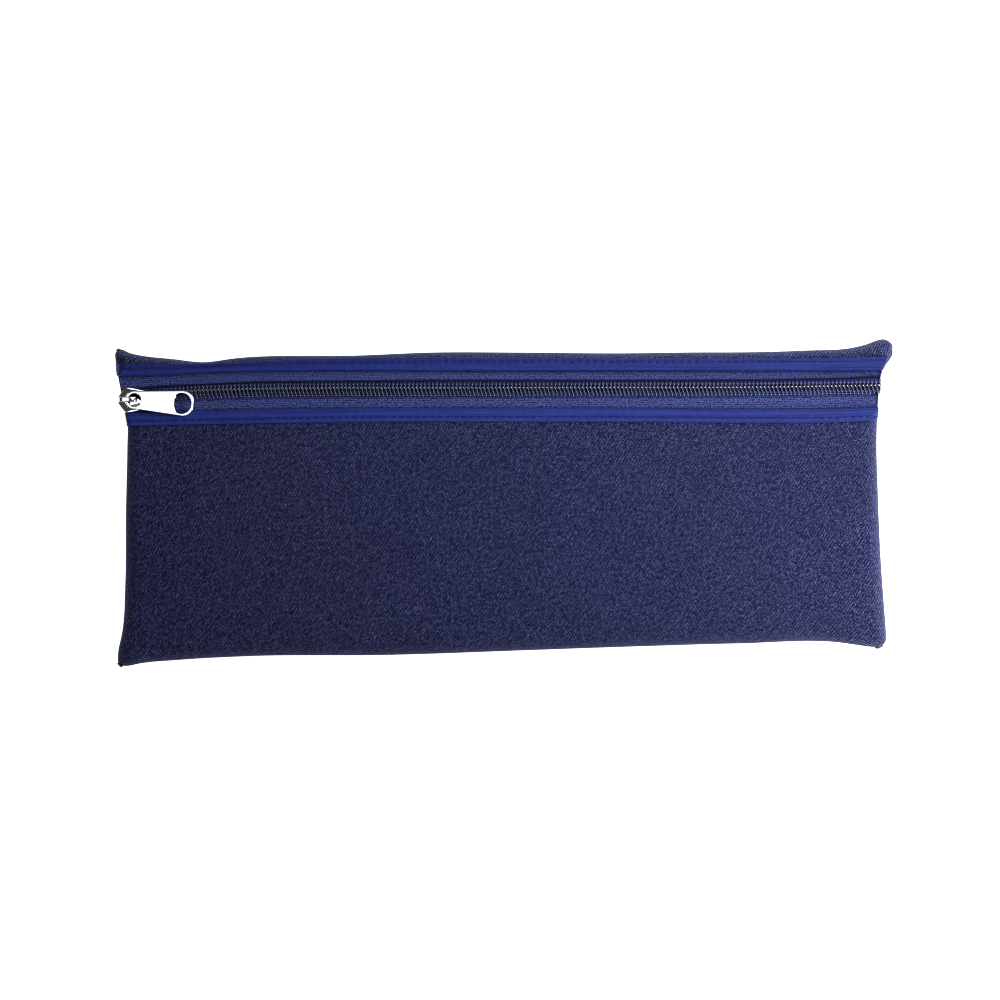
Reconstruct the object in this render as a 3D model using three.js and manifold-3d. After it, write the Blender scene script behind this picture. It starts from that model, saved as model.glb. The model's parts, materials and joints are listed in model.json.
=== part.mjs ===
// A flat zipped pencil case in indigo denim, lying on its back.
// Lengths are in millimetres. +X runs along the zip to the right, +Y points to the top edge and
// +Z points up, out of the front. The origin is under the middle of the case, on the table.
import * as THREE from 'three';
import { mergeVertices } from 'three/addons/utils/BufferGeometryUtils.js';
import Module from 'manifold-3d';

const wasm = await Module();
wasm.setup();

// The case as a whole. The top corners stand out as ears, and the sides and bottom are waisted.
const halfLength = 159.7;
const earLength = 5.3;
const topEdge = 64.4;
const earHeight = 3.4;
const bottomEdge = -63.6;
const bottomWaist = 1.2;
const seamHeight = 5.5;
const zipHeight = 11.0;
const bulge = 3.0;
const bulgeTop = 27.0;
const denim = 0.9;
const gap = 0.3;
const beyond = 200;

// How beyond in from each edge the cloth has turned from the seam to flat.
const roll = { frontSide: 5, frontBottom: 12, rearSide: 10, rearBottom: 14, top: 2.6 };

// Seam allowances, turned inside and oversewn along their raw edges.
const allowanceX = 151.5;
const allowanceY = -54.5;
const seamInset = { x: 157, y: -60.6 };
const threadSize = 0.4;
const threadClearance = 0.1;
const overlockWidth = 0.6;

// The zip: a closed chain of nylon coil on two woven tapes.
const zipY = 47.0;
const tapeThickness = 0.6;
const tapeBottom = 8.4;
const tapeWidth = 14;
const tapeSplit = 1.25;
const coilBottom = tapeBottom + tapeThickness + gap;
const coilHeight = 2.1;
const coilHalfWidth = 3.1;
const coilSpine = 0.6;
const coilReach = 0.55;
const coilPitch = 1.68;
const toothWidth = 0.52;
const zipEnd = 157.8;
const coilStart = -155.3;
const coilEnd = 157.4;

// The folded ribbons that bind the two denim edges beside the zip.
const lowerFold = 39.4;
const upperFold = 55.3;
const bindingWidth = 6;
const bindingThickness = 0.5;
const bindingSlot = { bottom: 9.8, top: 11.3 };
const stitchFromEdge = 1.9;
const stitchHalfWidth = 0.25;

// The lower half of the zip stays put at both ends, under the parked slider and its tab.
const leftPark = -129;
const rightPark = 132.7;

// The slider, with its nose to the left.
const noseX = -162.6;
const shoulderX = -158.9;
const tailX = -148;
const shoulderHalf = 5.35;
const tailHalf = 4.35;
const plate = 1.1;
const upperPlateBottom = coilBottom + coilHeight + gap;
const lowerPlateBottom = tapeBottom - 0.35 - plate;
const plateCorner = 1.2;
const lowerPlateSetback = 0.8;
const flangeInset = 0.9;
const flangeSetback = 1.6;
const dividerHalf = 0.9;
const dividerSetback = 1.4;
const dividerEnd = -155.9;

// The crown, a low bridge over the nose, and the pull tab that swings on it.
// The crown's profile and the tab's outline are measured from their pivot.
const pivot = { x: -159.2, y: 47.2, z: 14.2 };
const crownFront = -3.5;
const crownRear = 4.3;
const crownTop = 2.1;
const crownThickness = 0.8;
const crownWidth = 2.2;
const tabYaw = THREE.MathUtils.degToRad(-5);
const tabTilt = THREE.MathUtils.degToRad(2.5);
const tabThickness = 1.2;
const tabBevel = 0.2;
const tabLength = 28.9;
const eyeOffset = 3.6;
const eyeInside = 2.8;
const eyeOutside = 4.1;
const neckHalf = 3.7;
const gripHalf = 5.35;
const gripX = 24.2;
const tipReach = 3.4;
const tipHalf = 3;
const windowStart = 20.9;
const windowEnd = 27.6;
const windowWidestX = 23.8;
const windowHalf = 4.1;

const denimBlue = new THREE.MeshStandardMaterial({ color: 0x34386b, roughness: 0.9, metalness: 0 });
const satinBlue = new THREE.MeshStandardMaterial({ color: 0x343c8c, roughness: 0.5, metalness: 0 });
const tapeBlue = new THREE.MeshStandardMaterial({ color: 0x3c4379, roughness: 0.8, metalness: 0 });
const nylonBlue = new THREE.MeshStandardMaterial({ color: 0x323c73, roughness: 0.3, metalness: 0 });
const threadBlue = new THREE.MeshStandardMaterial({ color: 0x252b6b, roughness: 0.7, metalness: 0 });
const overlockBlue = new THREE.MeshStandardMaterial({ color: 0x2a2e58, roughness: 0.9, metalness: 0 });
const nickel = new THREE.MeshStandardMaterial({ color: 0xd8d6d0, roughness: 0.25, metalness: 1 });

const group = new THREE.Group();

function addPart(name, geometry, material) {
  const mesh = new THREE.Mesh(geometry, material);
  mesh.name = name;
  group.add(mesh);
  return mesh;
}

// A three.js geometry as a solid that can be cut and joined.
function toSolid(geometry) {
  const bare = geometry.clone();
  bare.deleteAttribute('normal');
  bare.deleteAttribute('uv');
  const merged = mergeVertices(bare, 1e-4);
  const vertProperties = new Float32Array(merged.attributes.position.array);
  const triVerts = new Uint32Array(merged.index.array);
  return new wasm.Manifold(new wasm.Mesh({ numProp: 3, vertProperties, triVerts }));
}

function toGeometry(solid) {
  const mesh = solid.getMesh();
  const geometry = new THREE.BufferGeometry();
  geometry.setAttribute('position', new THREE.BufferAttribute(mesh.vertProperties, 3));
  geometry.setIndex(new THREE.BufferAttribute(mesh.triVerts, 1));
  geometry.computeVertexNormals();
  return geometry;
}

// A box given by its lowest and highest corners.
function block(low, high) {
  const size = high.map((value, i) => value - low[i]);
  const middle = high.map((value, i) => (value + low[i]) / 2);
  return new THREE.BoxGeometry(...size).translate(...middle);
}

// Rises from 0 at an edge to 1 at a distance of reach, as a quarter of an ellipse.
function shoulder(distance, reach) {
  const t = Math.min(Math.max(distance / reach, 0), 1);
  return Math.sqrt(1 - (1 - t) ** 2);
}

// The cushion shape of the sewn case, shrunk by inset all round. u and v run from -1 to 1.
function cushionPoint(u, v, front, inset) {
  const sideX = halfLength + earLength * v ** 4 - inset;
  const topY = topEdge + earHeight * u ** 16 - inset;
  const bottomY = bottomEdge + bottomWaist * (1 - u ** 2) + inset;
  const x = u * sideX;
  const y = v > 0 ? v * topY : -v * bottomY;
  const fromSide = sideX * (1 - Math.abs(u));
  const fromTop = topY - y;
  const fromBottom = y - bottomY;
  if (!front) {
    const drop = shoulder(fromSide, roll.rearSide) * shoulder(fromBottom, roll.rearBottom);
    return [x, y, seamHeight - (seamHeight - inset) * drop * shoulder(fromTop, roll.top)];
  }
  const rise = shoulder(fromSide, roll.frontSide) * shoulder(fromBottom, roll.frontBottom);
  const across = THREE.MathUtils.clamp((y - bottomEdge) / (bulgeTop - bottomEdge), 0, 1);
  const crown = bulge * Math.sin(Math.PI * across) ** 2 * Math.cos(Math.PI * u / 2) ** 0.5;
  const flat = zipHeight - seamHeight - inset;
  return [x, y, seamHeight + (flat * shoulder(fromTop, roll.top) + crown) * rise];
}

// A closed cushion: a front and a back grid of points that share their rim.
function cushion(inset) {
  const us = [0, 0.2, 0.4, 0.6, 0.8, 0.93, 0.955, 0.975, 0.99, 1];
  const columns = [...us.slice(1).reverse().map((u) => -u), ...us];
  const rows = [-1, -0.99, -0.965, -0.93, -0.88, -0.82, -0.78, -0.65, -0.5, -0.35, -0.2, -0.05, 0.1,
    0.25, 0.42, 0.6, 0.9, 0.925, 0.95, 0.975, 0.99, 1];
  const positions = [];
  const add = (...corners) => corners.forEach((corner) => positions.push(...corner));
  for (const front of [true, false]) {
    for (let i = 0; i + 1 < columns.length; i += 1) {
      for (let j = 0; j + 1 < rows.length; j += 1) {
        const a = cushionPoint(columns[i], rows[j], front, inset);
        const b = cushionPoint(columns[i + 1], rows[j], front, inset);
        const c = cushionPoint(columns[i + 1], rows[j + 1], front, inset);
        const d = cushionPoint(columns[i], rows[j + 1], front, inset);
        if (front) add(a, b, c, a, c, d);
        else add(a, c, b, a, d, c);
      }
    }
  }
  const geometry = new THREE.BufferGeometry();
  geometry.setAttribute('position', new THREE.Float32BufferAttribute(positions, 3));
  return geometry;
}

const outer = toSolid(cushion(0));
const midSkin = toSolid(cushion(denim / 2));
const skin = outer.subtract(toSolid(cushion(denim)));

// A flat ledge of cloth turned in from the seam, along both sides and the bottom.
function seamAllowance(bottom, top, topY) {
  const ledge = midSkin.intersect(toSolid(block([-beyond, -beyond, bottom], [beyond, topY, top])));
  return ledge.subtract(toSolid(block([-allowanceX, allowanceY, -beyond], [allowanceX, beyond, beyond])));
}

// The front panel: from the bottom seam up to its bound edge below the zip.
function frontPanel() {
  const lip = lowerFold - bindingThickness - gap;
  const parkLip = lowerFold - bindingWidth - gap;
  const low = seamHeight + gap / 2;
  let panel = skin.intersect(toSolid(block([-beyond, -beyond, low], [beyond, lip, beyond])));
  panel = panel.subtract(toSolid(block([-beyond, parkLip, low - 1], [leftPark, beyond, beyond])));
  panel = panel.subtract(toSolid(block([rightPark, parkLip, low - 1], [beyond, beyond, beyond])));
  return toGeometry(panel.add(seamAllowance(low, low + denim, parkLip)));
}

// The rear panel: the whole back, folded over the top edge to its bound edge above the zip.
function rearPanel() {
  const strip = upperFold + bindingThickness + gap;
  const high = seamHeight - gap / 2;
  const back = skin.intersect(toSolid(block([-beyond, -beyond, -beyond], [beyond, beyond, high])));
  const overTop = skin.intersect(toSolid(block([-beyond, strip, -beyond], [beyond, beyond, beyond])));
  return toGeometry(back.add(overTop).add(seamAllowance(high - denim, high, strip + 1)));
}

// Pushes an outline drawn in Y and Z along X.
function alongX(shape, fromX, toX) {
  const geometry = new THREE.ExtrudeGeometry(shape, {
    depth: toX - fromX, bevelEnabled: false, curveSegments: 3,
  });
  geometry.rotateX(Math.PI / 2);
  geometry.rotateZ(Math.PI / 2);
  return geometry.translate(fromX, 0, 0);
}

// A ribbon folded around a cloth edge: two flat legs joined by a round fold. It opens to -Y.
function bindingShape() {
  const outerRadius = (bindingSlot.top - bindingSlot.bottom) / 2 + bindingThickness;
  const innerRadius = outerRadius - bindingThickness;
  const middle = (bindingSlot.top + bindingSlot.bottom) / 2;
  const shape = new THREE.Shape();
  shape.moveTo(-bindingWidth, middle - outerRadius);
  shape.lineTo(-innerRadius, middle - outerRadius);
  shape.quadraticCurveTo(0, middle - outerRadius, 0, middle);
  shape.quadraticCurveTo(0, middle + outerRadius, -innerRadius, middle + outerRadius);
  shape.lineTo(-bindingWidth, middle + outerRadius);
  shape.lineTo(-bindingWidth, bindingSlot.top);
  shape.lineTo(-bindingThickness, bindingSlot.top);
  shape.lineTo(-bindingThickness, bindingSlot.bottom);
  shape.lineTo(-bindingWidth, bindingSlot.bottom);
  shape.closePath();
  return shape;
}

function lowerBinding(fromX, toX) {
  return alongX(bindingShape(), fromX, toX).translate(0, lowerFold, 0);
}

function upperBinding(fromX, toX) {
  const geometry = alongX(bindingShape(), -toX, -fromX);
  geometry.rotateZ(Math.PI);
  return geometry.translate(0, upperFold, 0);
}

// One half of the tape; side is -1 below the chain and 1 above it.
function tape(side, fromX, toX) {
  const edges = [zipY + side * tapeSplit, zipY + side * tapeWidth].sort((a, b) => a - b);
  const top = tapeBottom + tapeThickness;
  return block([fromX, edges[0], tapeBottom], [toX, edges[1], top]);
}

// One half of the coil: a spine on the tape and a row of loops that reach past the middle.
function coil(side, fromX, toX) {
  const tip = -side * coilReach;
  const root = side * (coilHalfWidth - coilSpine);
  const back = side * coilHalfWidth;
  const phase = side > 0 ? 0 : coilPitch / 2;
  const shape = new THREE.Shape();
  shape.moveTo(fromX, back);
  shape.lineTo(fromX, root);
  const first = Math.ceil((fromX + toothWidth - phase) / coilPitch);
  for (let k = first; phase + k * coilPitch + toothWidth < toX; k += 1) {
    const x = phase + k * coilPitch;
    shape.lineTo(x - toothWidth / 2, root);
    shape.lineTo(x - toothWidth / 2, tip);
    shape.lineTo(x + toothWidth / 2, tip);
    shape.lineTo(x + toothWidth / 2, root);
  }
  shape.lineTo(toX, root);
  shape.lineTo(toX, back);
  shape.closePath();
  const geometry = new THREE.ExtrudeGeometry(shape, { depth: coilHeight, bevelEnabled: false });
  return geometry.translate(0, zipY, coilBottom);
}

// The row of topstitching that lies on a binding.
function topstitch(y, fromX, toX) {
  const bottom = bindingSlot.top + bindingThickness + threadClearance;
  return block([fromX, y - stitchHalfWidth, bottom], [toX, y + stitchHalfWidth, bottom + threadSize]);
}

// The slider's plates share one outline: a round nose, wide shoulders and a narrower tail.
function sliderOutline(nose, half, inset) {
  const tail = tailHalf - inset;
  const shape = new THREE.Shape();
  shape.moveTo(nose, 0);
  shape.bezierCurveTo(nose, -2.4, shoulderX - 1.4, -half, shoulderX + 0.6, -half);
  shape.lineTo(tailX - plateCorner, -tail);
  shape.quadraticCurveTo(tailX, -tail, tailX, plateCorner - tail);
  shape.lineTo(tailX, tail - plateCorner);
  shape.quadraticCurveTo(tailX, tail, tailX - plateCorner, tail);
  shape.lineTo(shoulderX + 0.6, half);
  shape.bezierCurveTo(shoulderX - 1.4, half, nose, 2.4, nose, 0);
  return shape;
}

function slab(shape, bottom, height) {
  const geometry = new THREE.ExtrudeGeometry(shape, {
    depth: height, bevelEnabled: false, curveSegments: 6,
  });
  return toSolid(geometry.translate(0, zipY, bottom));
}

// Side flanges, left where the inner outline is cut out of the outer one.
function sliderFlanges(bottom, top) {
  const start = noseX + flangeSetback;
  const full = slab(sliderOutline(start, shoulderHalf, 0), bottom, top - bottom);
  const inside = slab(sliderOutline(start, shoulderHalf - flangeInset, flangeInset), -beyond, 2 * beyond);
  const nose = toSolid(block([noseX - 1, 0, 0], [shoulderX - 0.2, beyond, beyond]));
  const tail = toSolid(block([tailX - 1, 0, 0], [beyond, beyond, beyond]));
  return full.subtract(inside).subtract(nose).subtract(tail);
}

// The wedge that parts the two rows of coil at the nose and joins the plates.
function divider() {
  const start = noseX + dividerSetback;
  const shape = new THREE.Shape();
  shape.moveTo(start, -dividerHalf);
  shape.lineTo(dividerEnd, -dividerHalf / 3);
  shape.lineTo(dividerEnd, dividerHalf / 3);
  shape.lineTo(start, dividerHalf);
  shape.closePath();
  return slab(shape, lowerPlateBottom + plate / 2, upperPlateBottom - lowerPlateBottom);
}

function sliderBody() {
  const lowerNose = noseX + lowerPlateSetback;
  const upper = slab(sliderOutline(noseX, shoulderHalf, 0), upperPlateBottom, plate);
  const lower = slab(sliderOutline(lowerNose, shoulderHalf, 0), lowerPlateBottom, plate);
  const upperFlanges = sliderFlanges(tapeBottom + tapeThickness + gap, upperPlateBottom + 0.1);
  return toGeometry(upper.add(lower).add(upperFlanges).add(divider()));
}

// A bent strip that bridges the nose and holds the pull tab, drawn from the side.
function crown() {
  const foot = upperPlateBottom + plate + threadClearance - pivot.z;
  const front = crownFront + crownThickness;
  const rear = crownRear - crownThickness;
  const inside = crownTop - crownThickness;
  const shape = new THREE.Shape();
  shape.moveTo(crownFront, foot);
  shape.lineTo(crownFront, 0.6);
  shape.quadraticCurveTo(crownFront, crownTop, crownFront + 1.5, crownTop);
  shape.lineTo(0.7, crownTop);
  shape.bezierCurveTo(2.4, crownTop, crownRear, 1.0, crownRear, foot);
  shape.lineTo(rear, foot);
  shape.bezierCurveTo(rear, 0.2, 2.2, inside, 0.7, inside);
  shape.lineTo(front + 0.9, inside);
  shape.quadraticCurveTo(front, inside, front, 0.4);
  shape.lineTo(front, foot);
  shape.closePath();
  const geometry = new THREE.ExtrudeGeometry(shape, {
    depth: crownWidth, bevelEnabled: false, curveSegments: 8,
  });
  geometry.rotateX(Math.PI / 2);
  return geometry.translate(pivot.x, pivot.y + crownWidth / 2, pivot.z);
}

// The tab's window, an egg with its blunt end towards the tip.
function tabWindow() {
  const path = new THREE.Path();
  const [from, to, widest, half] = [windowStart, windowEnd, windowWidestX, windowHalf];
  path.moveTo(from, 0);
  path.bezierCurveTo(from, half / 2, from + 0.2, half, widest, half);
  path.bezierCurveTo(widest + 2.4, half, to, half / 2, to, 0);
  path.bezierCurveTo(to, -half / 2, widest + 2.4, -half, widest, -half);
  path.bezierCurveTo(from + 0.2, -half, from, -half / 2, from, 0);
  return path;
}

// The pull tab, drawn flat from its pivot: a round eye, a widening grip and an egg-shaped window.
function pullTab() {
  const shape = new THREE.Shape();
  const neck = Math.asin(neckHalf / eyeOutside);
  shape.absarc(eyeOffset, 0, eyeOutside, neck, -neck, false);
  shape.lineTo(gripX, -gripHalf);
  shape.bezierCurveTo(gripX + tipReach, -gripHalf, tabLength, -tipHalf, tabLength, 0);
  shape.bezierCurveTo(tabLength, tipHalf, gripX + tipReach, gripHalf, gripX, gripHalf);
  shape.closePath();
  const eye = new THREE.Path();
  eye.absarc(eyeOffset, 0, eyeInside, 0, 2 * Math.PI, true);
  shape.holes.push(eye, tabWindow());
  const geometry = new THREE.ExtrudeGeometry(shape, {
    depth: tabThickness - 2 * tabBevel, bevelThickness: tabBevel, bevelSize: tabBevel,
    bevelOffset: -tabBevel, bevelSegments: 1, curveSegments: 10,
  });
  return geometry.translate(0, 0, tabBevel - tabThickness / 2);
}

addPart('rear_panel', rearPanel(), denimBlue);
addPart('front_panel', frontPanel(), denimBlue);

// The upper half of the zip runs the whole length, on the rear panel's folded edge.
addPart('upper_zip_tape', tape(1, -zipEnd, zipEnd), tapeBlue);
addPart('upper_coil', coil(1, coilStart, coilEnd), nylonBlue);
addPart('upper_binding', upperBinding(-zipEnd, zipEnd), satinBlue);
const upperStitchY = upperFold + bindingWidth - stitchFromEdge;
addPart('upper_topstitch', topstitch(upperStitchY, -zipEnd, zipEnd), threadBlue);

// The lower half is one long stretch that opens, between two short ends that stay closed.
const lowerStitchY = lowerFold - bindingWidth + stitchFromEdge;
const stretches = [
  { suffix: '', from: leftPark + gap, to: rightPark - gap },
  { suffix: '_left_end', from: -zipEnd, to: leftPark },
  { suffix: '_right_end', from: rightPark, to: zipEnd },
];
for (const { suffix, from, to } of stretches) {
  const coilFrom = Math.max(from, coilStart);
  const coilTo = Math.min(to, coilEnd);
  addPart(`lower_zip_tape${suffix}`, tape(-1, from, to), tapeBlue);
  addPart(`lower_coil${suffix}`, coil(-1, coilFrom, coilTo), nylonBlue);
  addPart(`lower_binding${suffix}`, lowerBinding(from, to), satinBlue);
  addPart(`lower_topstitch${suffix}`, topstitch(lowerStitchY, from, to), threadBlue);
}

// Seam threads under the allowances, and the oversewing along their raw edges.
const threadTop = seamHeight - gap / 2 - denim - threadClearance;
const threadBottom = threadTop - threadSize;
const overlockTop = seamHeight + gap / 2 + denim + threadClearance;
for (const [name, side] of [['left', -1], ['right', 1]]) {
  const seam = block(
    [seamInset.x - threadSize, allowanceY + 1, threadBottom],
    [seamInset.x, topEdge - 8, threadTop],
  );
  const edge = block(
    [allowanceX - gap - overlockWidth, allowanceY + 0.5, threadTop],
    [allowanceX - gap, upperFold, overlockTop],
  );
  if (side < 0) {
    seam.translate(threadSize - 2 * seamInset.x, 0, 0);
    edge.translate(overlockWidth + 2 * gap - 2 * allowanceX, 0, 0);
  }
  addPart(`${name}_seam_thread`, seam, threadBlue);
  addPart(`${name}_overlock`, edge, overlockBlue);
}
const bottomOverlockX = allowanceX - 2 * gap - overlockWidth;
addPart('bottom_seam_thread', block(
  [-allowanceX, seamInset.y, threadBottom],
  [allowanceX, seamInset.y + threadSize, threadTop],
), threadBlue);
addPart('bottom_overlock', block(
  [-bottomOverlockX, allowanceY + gap, threadTop],
  [bottomOverlockX, allowanceY + gap + overlockWidth, overlockTop],
), overlockBlue);

addPart('slider_body', sliderBody(), nickel);
addPart('slider_crown', crown(), nickel);
const tab = addPart('pull_tab', pullTab(), nickel);
tab.position.set(pivot.x, pivot.y, pivot.z);
tab.rotation.set(0, tabTilt, tabYaw, 'ZYX');

// Centre the case over the origin, with the back on the table.
const box = new THREE.Box3().setFromObject(group);
const centre = box.getCenter(new THREE.Vector3());
group.position.set(-centre.x, -centre.y, -box.min.z);

export default group;
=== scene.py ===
"""A flat denim pencil case with a coil zip, satin bound edges and a nickel slider, seen from above."""

import json
import math
from contextlib import contextmanager
from functools import partial

import bmesh
import bpy
import numpy as np
from mathutils import Matrix, Vector


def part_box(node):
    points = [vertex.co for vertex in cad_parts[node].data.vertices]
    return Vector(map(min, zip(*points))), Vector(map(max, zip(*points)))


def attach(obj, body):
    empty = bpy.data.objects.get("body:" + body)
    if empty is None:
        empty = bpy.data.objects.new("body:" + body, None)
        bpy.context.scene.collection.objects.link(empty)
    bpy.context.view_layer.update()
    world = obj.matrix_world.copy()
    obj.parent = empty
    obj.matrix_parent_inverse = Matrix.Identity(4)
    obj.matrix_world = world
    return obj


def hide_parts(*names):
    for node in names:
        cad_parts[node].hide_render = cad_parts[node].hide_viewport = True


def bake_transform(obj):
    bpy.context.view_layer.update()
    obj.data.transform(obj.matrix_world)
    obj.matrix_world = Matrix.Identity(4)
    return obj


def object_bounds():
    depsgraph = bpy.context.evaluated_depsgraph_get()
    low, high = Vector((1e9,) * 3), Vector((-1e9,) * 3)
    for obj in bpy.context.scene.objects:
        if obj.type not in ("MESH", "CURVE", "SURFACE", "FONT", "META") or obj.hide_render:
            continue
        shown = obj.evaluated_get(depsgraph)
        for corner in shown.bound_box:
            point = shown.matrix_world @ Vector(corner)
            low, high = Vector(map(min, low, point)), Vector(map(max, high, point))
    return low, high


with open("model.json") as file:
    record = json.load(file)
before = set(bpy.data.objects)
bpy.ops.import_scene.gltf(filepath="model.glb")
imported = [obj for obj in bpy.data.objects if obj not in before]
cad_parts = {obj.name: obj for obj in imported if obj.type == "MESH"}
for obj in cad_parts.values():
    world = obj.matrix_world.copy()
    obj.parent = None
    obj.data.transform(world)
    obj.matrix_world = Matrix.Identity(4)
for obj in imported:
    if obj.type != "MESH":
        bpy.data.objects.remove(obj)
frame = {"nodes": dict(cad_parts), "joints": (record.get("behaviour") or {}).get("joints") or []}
cad_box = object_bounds()

MM = 0.001


def box_mm(node):
    """A CAD node's lowest and highest corners, in millimetres."""
    low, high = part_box(node)
    return np.array(low) / MM, np.array(high) / MM


# Places taken from the frame, in millimetres.
CASE_LOW, CASE_HIGH = (np.array(corner) / MM for corner in cad_box)
COIL_LOW, COIL_HIGH = box_mm("upper_coil")
TAPE_LOW, TAPE_HIGH = box_mm("upper_zip_tape")
RIBBON_LOW, RIBBON_HIGH = box_mm("lower_binding")
LOWER_COIL_HIGH = box_mm("lower_coil")[1]
SLIDER_LOW, SLIDER_HIGH = box_mm("slider_body")
CROWN_LOW, CROWN_HIGH = box_mm("slider_crown")
PARK_LEFT = box_mm("lower_binding_left_end")[1][0]
PARK_RIGHT = box_mm("lower_binding_right_end")[0][0]
OVERLOCK_LOW_Z = box_mm("left_overlock")[0][2]
PULL_SWING = [joint for joint in frame["joints"] if joint["name"] == "pull_swing"][0]

ZIP_Y = (COIL_LOW[1] + LOWER_COIL_HIGH[1]) / 2
COIL_MIDDLE_Z = (COIL_LOW[2] + COIL_HIGH[2]) / 2
SEAM_Z = box_mm("front_panel")[0][2] - 0.15
LIP_Z = box_mm("rear_panel")[1][2]
CLOTH = 0.9
MIDDLE_X = (PARK_LEFT + PARK_RIGHT) / 2

# The cloth as it lies, in millimetres. The chain's bow is how far it lies above the straight CAD line.
# The folds, the ribbon's edge, the top and the bottom give y at an x, and the two sides give x at a y.
CHAIN_BOW = [(-166, 0.2), (-157, 0.3), (-147, 1.7), (-134, 2.9), (-112, 3.4), (-77, 3.3), (-22, 2.4),
             (42, 1.4), (105, 0.4), (130, 0.25), (166, 0.25)]
LOWER_FOLD = [(-166, 39.6), (-120, 39.9), (-77, 39.85), (-22, 39.1), (42, 38.0), (105, 36.4),
              (148, 36.1), (166, 36.6)]
UPPER_FOLD = [(-166, 55.2), (-145, 55.0), (-122, 55.9), (-77, 55.9), (-22, 54.8), (42, 53.7),
              (105, 52.6), (148, 51.9), (166, 51.7)]
UPPER_RIBBON_EDGE = [(-166, 60.2), (-145, 59.8), (-126, 59.7), (-89, 60.7), (-22, 60.4), (28, 59.3),
                     (106, 57.8), (148, 57.4), (166, 57.8)]
TOP_EDGE = [(-166, 65.2), (-164, 66.2), (-162, 66.5), (-160.5, 66.2), (-158.5, 65.2), (-156, 64.4),
            (-151, 63.4), (-140, 62.1), (-127, 60.5), (-112, 62.0), (-60, 62.2), (-30, 62.9), (10, 62.2),
            (50, 61.2), (84, 61.0), (105, 60.7), (130, 61.0), (150, 61.9), (156, 63.3), (161, 65.0),
            (162.5, 65.2), (164, 64.3), (167, 62.0)]
BOTTOM_EDGE = [(-166, -67.8), (-161, -68.1), (-156, -67.2), (-140, -66.0), (-110, -64.9), (-50, -65.4),
               (10, -64.4), (50, -63.7), (100, -63.1), (140, -63.2), (156, -65.6), (166, -66.4)]
LEFT_EDGE = [(-68, -165.2), (-60, -165.0), (-52, -163.2), (-30, -161.4), (0, -160.6), (25, -159.6),
             (36, -159.4), (42, -160.6), (52, -162.6), (60, -163.8), (67, -164.5)]
RIGHT_EDGE = [(-68, 162.2), (-55, 161.5), (-30, 160.1), (0, 159.3), (25, 159.2), (38, 160.0),
              (47, 161.0), (53, 162.3), (58, 165.0), (63, 166.7), (67, 166.4)]
EAR_CORNER = 2.6
BOTTOM_LEFT_CORNER = 1.8
BOTTOM_RIGHT_CORNER = 4.8


def curve_at(points, at):
    """A smooth curve through a few points (cubic Hermite), read at one place or many."""
    xs = np.array([p[0] for p in points], float)
    ys = np.array([p[1] for p in points], float)
    slope = np.gradient(ys, xs)
    at = np.clip(np.asarray(at, float), xs[0], xs[-1])
    i = np.clip(np.searchsorted(xs, at) - 1, 0, len(xs) - 2)
    width = xs[i + 1] - xs[i]
    t = (at - xs[i]) / width
    a = (1 + 2 * t) * (1 - t) ** 2 * ys[i] + t * (1 - t) ** 2 * width * slope[i]
    b = t * t * (3 - 2 * t) * ys[i + 1] + t * t * (t - 1) * width * slope[i + 1]
    return a + b


def smoothstep(low, high, value):
    """0 up to low, 1 from high on, and a smooth rise between them."""
    t = np.clip((np.asarray(value, float) - low) / (high - low), 0, 1)
    return t * t * (3 - 2 * t)


def shoulder(distance, reach):
    """Rises from 0 at an edge to 1 at a distance of reach, as a quarter of an ellipse."""
    t = np.clip(np.asarray(distance, float) / reach, 0, 1)
    return np.sqrt(1 - (1 - t) ** 2)


def chain_y(x):
    """The chain's middle line, as it bows along the case."""
    return ZIP_Y + curve_at(CHAIN_BOW, x)


# -------- mesh helpers


def new_object(name, data):
    thing = bpy.data.objects.new(name, data)
    bpy.context.scene.collection.objects.link(thing)
    return thing


def mesh_object(name, points, faces, materials, weave=None, shares=None):
    """A smooth mesh from points in millimetres.

    weave is each point's place on the flat cloth, and shares are further numbers for each point.
    """
    mesh = bpy.data.meshes.new(name)
    mesh.from_pydata((np.asarray(points, float) * MM).tolist(), [], [list(map(int, f)) for f in faces])
    if weave is not None:
        layer = mesh.attributes.new("weave", "FLOAT_VECTOR", "POINT")
        layer.data.foreach_set("vector", np.asarray(weave, np.float32).ravel())
    for key, values in (shares or {}).items():
        layer = mesh.attributes.new(key, "FLOAT", "POINT")
        layer.data.foreach_set("value", np.asarray(values, np.float32).ravel())
    mesh.polygons.foreach_set("use_smooth", [True] * len(mesh.polygons))
    mesh.validate()
    for material in materials:
        mesh.materials.append(material)
    return new_object(name, mesh)


@contextmanager
def edited(mesh):
    """Opens a mesh for editing, and writes it back at the end."""
    work = bmesh.new()
    work.from_mesh(mesh)
    yield work
    work.to_mesh(mesh)
    work.free()


def grid_faces(rows, columns, start=0, wrap=False):
    """Quads between rows of points; wrap joins the last column to the first."""
    faces = []
    for i in range(rows - 1):
        for j in range(columns if wrap else columns - 1):
            k = (j + 1) % columns
            a, b = start + i * columns + j, start + i * columns + k
            faces.append((a, b, b + columns, a + columns))
    return faces


def tube_faces(rows, columns, start=0):
    """Quads round a tube made of rings of points, and a face over each end."""
    faces = grid_faces(rows, columns, start, wrap=True)
    last = start + (rows - 1) * columns
    faces.append(tuple(start + j for j in reversed(range(columns))))
    faces.append(tuple(last + j for j in range(columns)))
    return faces


def apply_modifiers(thing):
    """Turns what the modifiers make into the object's own mesh."""
    graph = bpy.context.evaluated_depsgraph_get()
    made = bpy.data.meshes.new_from_object(thing.evaluated_get(graph), preserve_all_data_layers=True,
                                           depsgraph=graph)
    thing.modifiers.clear()
    old = thing.data
    name = old.name
    thing.data = made
    bpy.data.meshes.remove(old)
    made.name = name
    return thing


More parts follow.
